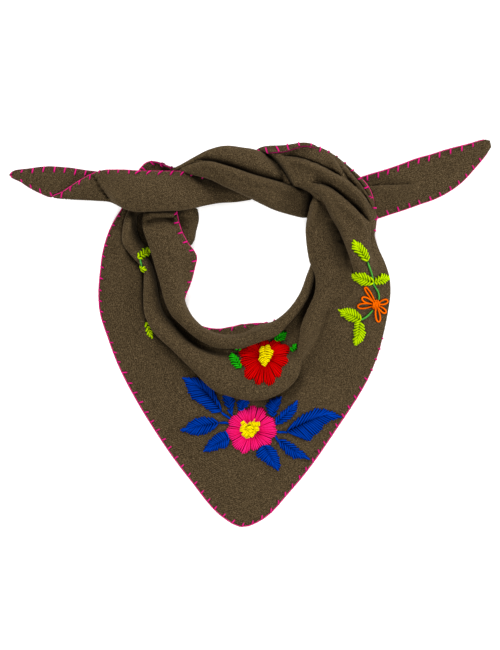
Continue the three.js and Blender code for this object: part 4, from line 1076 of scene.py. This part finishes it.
pinkHead = {"x": 1, "y": -95, "hole": 11.3, "notch": 0.13, "turn": 0.1, "thread": 2.1,
            "radii": [25.5, 25, 22, 25, 23, 22, 22.5, 23, 24.5, 23, 23, 25, 20, 19, 22, 24]}
redHead = {"x": 15, "y": -22, "hole": 9.8, "notch": 0.2, "turn": 0.2, "thread": 2.1,
           "radii": [24, 25, 22, 18, 16, 17, 20, 25, 26.5, 24.5, 27, 28, 28, 27, 22, 21]}
pinkCentre = {
    "rows": [
        (-84.5, 2, 6.5), (-86.5, -6, 9.5), (-89, -9.5, 10.5), (-92, -10.5, 10.5), (-95, -10.5, 9.5),
        (-98, -9.5, 7), (-101, -8.5, 4), (-103.5, -5.5, 1)],
    "bundles": [
        (-6.3, -89, 6, 35, 4), (-7.5, -94, 6, -15, 4), (-5, -99.3, 6.5, 50, 4),
        (-0.5, -94.5, 6.5, 25, 4), (1, -99.5, 6, -30, 3), (4.2, -89.5, 6, 70, 4), (7.8, -89, 5.5, 95, 3),
        (6.5, -94, 5.5, 15, 3)],
}
redCentre = {
    "rows": [
        (-12.3, 11, 21), (-15, 9, 23.5), (-18, 9, 23.5), (-21, 9, 22.5), (-24, 8.5, 21.5),
        (-27, 8.8, 19.5), (-29.5, 11, 17.5), (-31.5, 13, 15.5)],
    "bundles": [
        (12.5, -15.5, 6, -15, 4), (18, -14.5, 6.5, 10, 4), (20.5, -18, 6, -20, 3),
        (13.5, -20, 6.5, 20, 4), (18.5, -21.5, 6, -5, 3), (11.8, -25, 5.5, 45, 3),
        (16, -25.5, 6.5, 30, 4), (14.5, -29, 5, -30, 3)],
}


def leaf(rib, left, right, layer="panel"):
    return {"rib": rib, "left": left, "right": right, "layer": layer}


# Leaves as they lie in the plan: the rib from base to tip, and both edges.
blueLeaves = {
    "upper_left": leaf(
        [(-29, -76), (-43, -58), (-57, -48), (-67, -43)],
        [(-37, -78), (-45, -72), (-52, -67), (-58, -63), (-61, -58), (-63, -52), (-65, -47)],
        [(-30, -70), (-34, -62), (-37, -54), (-41, -49), (-48, -45), (-54, -43), (-60, -43)]),
    "left": leaf(
        [(-32, -88), (-50, -91), (-69, -95)],
        [(-39, -96), (-48, -100), (-57, -99.5), (-64, -97)],
        [(-38, -83), (-47, -82), (-55, -84), (-61, -88), (-64, -92)]),
    "lower_left": leaf(
        [(-21, -103), (-34, -109), (-46, -116)],
        [(-23, -112), (-30, -113), (-37, -116)],
        [(-25, -96), (-33, -99), (-41, -106), (-44, -112)]),
    "top_left": leaf(
        [(-19, -79), (-22, -70), (-24, -58)],
        [(-22, -75), (-26, -68), (-27, -61)],
        [(-17, -72), (-15.5, -65), (-18, -60)]),
    "top": leaf(
        [(-9, -76), (-7.5, -70), (-6, -64)],
        [(-12.5, -73), (-12.5, -68), (-10, -65)],
        [(-3, -72), (-1.5, -68), (-2, -65)]),
    "top_right": leaf(
        [(23, -81), (27, -72), (31, -62)],
        [(18, -77), (16, -70), (21, -65), (27, -63)],
        [(27, -77), (29, -70), (31, -65)]),
    "right_up": leaf(
        [(26, -89), (37, -78), (47, -66)],
        [(26, -83), (32, -77), (40, -71)],
        [(32, -88), (38, -85), (44, -79), (47, -72)]),
    "right": leaf(
        [(37, -96), (56, -87), (74, -79), (91, -82)],
        [(42, -90), (49, -82), (58, -77), (67, -73), (77, -75), (85, -78)],
        [(46, -100), (54, -104), (60, -106), (63, -101), (70, -96), (74, -89), (82, -85)]),
    "right_low": leaf(
        [(29, -105), (44, -115), (59, -124)],
        [(33, -104), (40, -107), (48, -113), (55, -119)],
        [(30, -111), (36, -118), (43, -123), (52, -123)]),
    "bottom": leaf(
        [(14, -110), (21, -122), (28, -135)],
        [(18, -110), (25, -114), (28, -121), (30, -129)],
        [(6, -118), (8, -122), (14, -126), (20, -130), (25, -133)]),
}
blueStems = {
    "upper_left": [(-19, -84), (-23.5, -81), (-28.3, -78)],
    "left": [(-21.6, -88), (-26, -87.5), (-30.3, -88)],
    "top_left": [(-17.5, -80.5), (-18.8, -77.8), (-19.8, -75.6)],
    "right": [(27, -97), (32, -97), (37.3, -97)],
    "right_low": [(25, -101), (27, -104), (28.6, -106.5)],
}
greenLeaves = {
    "left": leaf(
        [(-9.5, -32.5), (-14, -25), (-18.5, -18.5)],
        [(-14, -33), (-18, -28), (-21, -24)],
        [(-9, -28), (-11, -24), (-15, -20)], "pocket"),
    "left_small": leaf([(-9, -13.5), (-12, -13.8), (-14, -14.2)], [(-11, -12)], [(-11, -15.5)], "pocket"),
    "top": leaf(
        [(25, -5), (31, -1), (36, 2.5)],
        [(25, -1), (28.5, 2.5), (33, 4)],
        [(29, -6.5), (33, -5), (36, -0.5)], "pocket"),
    "right": leaf(
        [(40.5, -15), (43, -12.5), (46, -9.5)],
        [(41, -12), (43.5, -9.5)],
        [(43.5, -17), (46, -14)], "pocket"),
}
limeLeaves = {
    "top": leaf(
        [(116, 74), (109, 84), (103, 94)],
        [(111, 76), (106, 81), (102, 85), (101.5, 89)],
        [(118, 78), (117, 82), (113.5, 86), (112, 89), (107, 92)], "side"),
    "middle_left": leaf(
        [(122, 52.5), (111, 56.5), (101, 60)],
        [(119, 50), (113, 49.5), (107, 52.5), (103, 56)],
        [(120, 57), (115, 61), (109, 62), (104.5, 61.5)], "side"),
    "middle_right": leaf(
        [(123.5, 52.5), (131, 55), (139, 56)],
        [(125, 57), (130, 60), (134, 61), (137.5, 60)],
        [(125, 50.5), (130, 50.5), (135, 52.5)], "side"),
    "low_left": leaf(
        [(110, 15), (100, 20), (89, 25)],
        [(105, 13), (100, 13.5), (95, 17), (91, 20)],
        [(110, 19), (106, 24), (100, 26.5), (94, 26)], "side"),
    "low": leaf(
        [(109, 12.5), (108, 2), (104.5, -9.5)],
        [(112.5, 11), (115, 4), (114, -2), (109, -8.5)],
        [(104.5, 11), (104, 6), (104, 0), (103, -6)], "side"),
    "shoulder": leaf(
        [(-111, 77), (-105, 81), (-98.5, 85.5)],
        [(-111.5, 82), (-107, 85.5), (-102, 87.5)],
        [(-107, 75.5), (-103, 78.5), (-99.5, 82)], "pocket"),
    "side": leaf(
        [(-104, 12), (-101, 4), (-98, -3)],
        [(-101, 10), (-98, 4)],
        [(-105, 6), (-102, 0)], "panel"),
}
stemLines = {
    "upper": [(116.6, 72.6), (119, 66), (121.4, 58), (122.2, 50.5), (126, 45.5), (128.3, 40.5),
              (128.4, 35.4)],
    "lower": [(121.8, 24.8), (118, 20), (113, 16.4), (109.6, 15)],
}
shoulderStem = [(-109.5, 76.5), (-108.8, 73), (-106.5, 68.5)]
shoulderBud = leaf([(-112, 65.5), (-108, 66.5), (-103.5, 65)], [(-110, 68.5), (-106.5, 69)],
                   [(-110, 63.5), (-106, 63)])
daisy = {
    "x": 125.5,
    "y": 30.5,
    "radius": 3.9,
    "thread": 2.1,
    "points": 24,      # round each loop
    "tips": [(113.5, 49, 5.6), (110.4, 37.6, 7.4), (106, 28.6, 7.6), (138, 34.6, 7), (136, 21.8, 6.4),
             (128.4, 12.2, 7)],      # x, y and the loop's width
}


def camel(name):
    first, *rest = name.split("_")
    return first + "".join(word.capitalize() for word in rest)


def finishStitches(stitches, name, thread, node=None):
    piece = stitches.piece(name + "Stitches", threads[thread])
    if node:
        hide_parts(node)
    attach(piece, "root")


def dress(node, stitches, thread):
    finishStitches(stitches, camel(node), thread, node)


dress("flower_pink_petals", headStitches("panel", pinkHead), "pink")
dress("flower_pink_center", centreStitches("panel", pinkCentre), "yellow")
dress("flower_red_petals", headStitches("pocket", redHead), "red")
dress("flower_red_center", centreStitches("pocket", redCentre), "yellow")
for name, shape in blueLeaves.items():
    dress("leaf_blue_" + name, leafStitches("panel", shape, stitching["blue"]), "blue")
for name, points in blueStems.items():
    dress("stem_blue_" + name, stemStitches("panel", points, stitching["blueStem"]), "blue")
for name, shape in greenLeaves.items():
    dress("leaf_green_" + name, leafStitches("pocket", shape, stitching["green"]), "green")
for name, shape in limeLeaves.items():
    dress("leaf_lime_" + name, leafStitches(shape["layer"], shape, stitching["lime"]), "lime")
for name, points in stemLines.items():
    dress("stem_green_" + name, stemStitches("side", points, stitching["greenStem"]), "stem")
dress("daisy", loopStitches("side", daisy), "orange")
stem = stemStitches("pocket", shoulderStem, stitching["greenStem"])
finishStitches(stem, "stemShoulder", "stem")
bud = leafStitches("pocket", shoulderBud, stitching["green"])
finishStitches(bud, "budShoulder", "lime")

hemStitching = {
    "spacing": 11.0,
    "thread": 1.9,
    "cord": 1.35,
    "proud": 0.6,          # how far the thread along the hem stands out of it
    "reach": 20,           # columns of the grid that the legs may run over
}


# Along each column's hem, up to each cut of the net: the leg's length, and how far its inner end
# runs along the hem. The cord's place is a share of half the cloth's thickness, and the bump is how
# far each corner stands out.
hemZones = table("column toKey leg lean cord bump", [
    (outerHem, 32, 4.8, -1, 0.2, 0.3),
    (outerHem, 60, 5.4, -4, 0.1, 0.3),
    (outerHem, 66.5, 5.2, -1, 0.3, 0.3),
    (outerHem, 73.4, 1.2, -0.5, 0.4, 0.7),
    (outerHem, 77, 2.5, -1, 0.5, 0.7),
    (outerHem, 81, 3.7, -2, 0.5, 0.6),
    (outerHem, 91, 1.8, -1, 0.5, 0.7),
    (outerHem, 143, 4.8, -1.2, 0.3, 0.5),
    (0, 143, 4.8, -1, 0.3, 0.4),
])


# Blanket stitch along one hem: each thread comes out of the cloth, runs over it to the hem and
# along it to the next stitch, with a leg below the cloth as well.
def hemStitches(name, column):
    stitches = Stitches()
    edge, reachIn = grid.shape[1] - 1, hemStitching["reach"]
    across = slice(0, reachIn) if column == 0 else slice(edge, edge - reachIn, -1)
    points, facing = grid[:, across], normals[:, across]
    along = distances(points[:, 0])
    half = cloth["thickness"] / 2
    spacing, proud, thread, cord = (hemStitching[key] for key in ("spacing", "proud", "thread", "cord"))
    zones = [(along[rowOf(zone["toKey"])], zone) for zone in hemZones if zone["column"] == column]

    # Point and normal a given way along the hem and then inwards over the cloth.
    def spot(s, inwards):
        k = min(len(along) - 2, int(np.searchsorted(along, s, side="right")) - 1)
        share = (s - along[k]) / (along[k + 1] - along[k] + 1e-9)
        line, n = lerp(points[k], points[k + 1], share), lerp(facing[k], facing[k + 1], share)
        way = distances(line)
        return pointAt(line, way, inwards), unit(pointAt(n, way, inwards))

    # A point beside the hem: how far out of it, and how high on the cloth's edge.
    def beside(s, outwards, share, side):
        at, n = spot(s, 0)
        point = at + unit(at - spot(s, 2)[0]) * outwards + n * side * half * share
        return np.array((point[0], point[1], max(point[2], thread * 0.45))), n * side

    s0 = spacing * 0.25
    while s0 + spacing < along[-1]:
        gap = spacing * random.uniform(0.93, 1.07)
        zone = next((zone for end, zone in zones if s0 < end), zones[-1][1])
        for side in (1, -1):
            leg = zone["leg"] * random.uniform(0.9, 1.1)
            turn = zone["lean"] * random.uniform(0.6, 1.3)
            path, ups = [], []
            for t, rise in ((1, half - 0.6), (0.94, half + 0.4), (0.6, half + 0.7), (0.25, half + 0.5)):
                at, n = spot(s0 + turn * t, leg * t)
                path.append(at + n * rise * side)
                ups.append(n * side)
            for share in (0.6, -0.4):
                point, n = beside(s0, zone["bump"], share, side)
                path.append(point)
                ups.append(n)
            path = np.array(path)
            path[:, 2] = np.maximum(path[:, 2], thread * 0.45)      # stays above the table
            stitches.strand(path, ups, thread, thread * 0.9, 0.75)
        steps = (-0.02, 0.2, 0.4, 0.6, 0.8, 1.02)      # on to the next stitch, a little over both ends
        path, ups = zip(*(beside(s0 + gap * t, proud, zone["cord"], 1) for t in steps))
        stitches.strand(path, ups, cord, cord, 0.9, longStrand)
        s0 += gap
    finishStitches(stitches, name, "magenta")


hemStitches("neckHem", 0)
hemStitches("outerHem", outerHem)
print("hem stitches laid")

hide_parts("scarf_cloth")
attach(woolCloth, "root")
faceArea = sum(p.area for p in woolCloth.data.polygons) / 2
print("cloth area", round(faceArea, 4))

studio = {
    "table": ("#eeedeb", "#f2f1ef"),
    "tableSize": 6.0,
    "distance": 5.0,
    "frameHeight": 0.65,
    "aim": (-0.00036, 0.00817),
    "air": 0.08,
    "lamps": [      # name, place, size and power
        ("keyLamp", (-0.5, 2.2, 1.6), 0.9, 63),
        ("frontLamp", (0.2, -2.0, 1.6), 0.9, 42),
        ("leftLamp", (-2.2, 0.2, 1.5), 0.8, 27),
        ("rightLamp", (2.4, 0.2, 0.75), 0.8, 56),
        ("topLamp", (0.0, 0.1, 2.4), 0.9, 5),
    ],
}

bpy.ops.mesh.primitive_grid_add(x_subdivisions=8, y_subdivisions=8, size=studio["tableSize"],
                                location=(0, 0, -0.0004))
tableTop = bpy.context.active_object
tableTop.name = "tableTop"
bpy.ops.object.transform_apply(location=True, rotation=True, scale=True)
tableMaterial, tree, shader = newMaterial("paleTable")
mottle = addNode(tree, "ShaderNodeTexNoise", {"Scale": 6.0, "Detail": 2.0}).outputs["Fac"]
darker, paler = (linear(tint) for tint in studio["table"])
feed(tree, shader, {
    "Base Color": ramp(tree, mottle, [(0.3, darker), (0.7, paler)]),
    "Roughness": 0.9,
    "Emission Color": grey(1),
    "Emission Strength": 0.5,
})
tableTop.data.materials.append(tableMaterial)

for name, spot, size, power in studio["lamps"]:
    bpy.ops.object.light_add(type="AREA", location=spot)
    lamp = bpy.context.active_object
    lamp.name = name
    lamp.data.size = size
    lamp.data.energy = power
    lamp.rotation_euler = (Vector((0, 0, 0)) - Vector(spot)).to_track_quat("-Z", "Y").to_euler()
world = bpy.data.worlds.new("studioAir")
bpy.context.scene.world = world
world.use_nodes = True
feed(world.node_tree, world.node_tree.nodes["Background"], {"Color": grey(1), "Strength": studio["air"]})

bpy.ops.object.camera_add(location=(*studio["aim"], studio["distance"]), rotation=(0, 0, 0))
camera = bpy.context.active_object
camera.data.lens = 36 * studio["distance"] / studio["frameHeight"]
camera.data.clip_end = 20
bpy.context.scene.camera = camera
bpy.context.scene.view_settings.view_transform = "Standard"
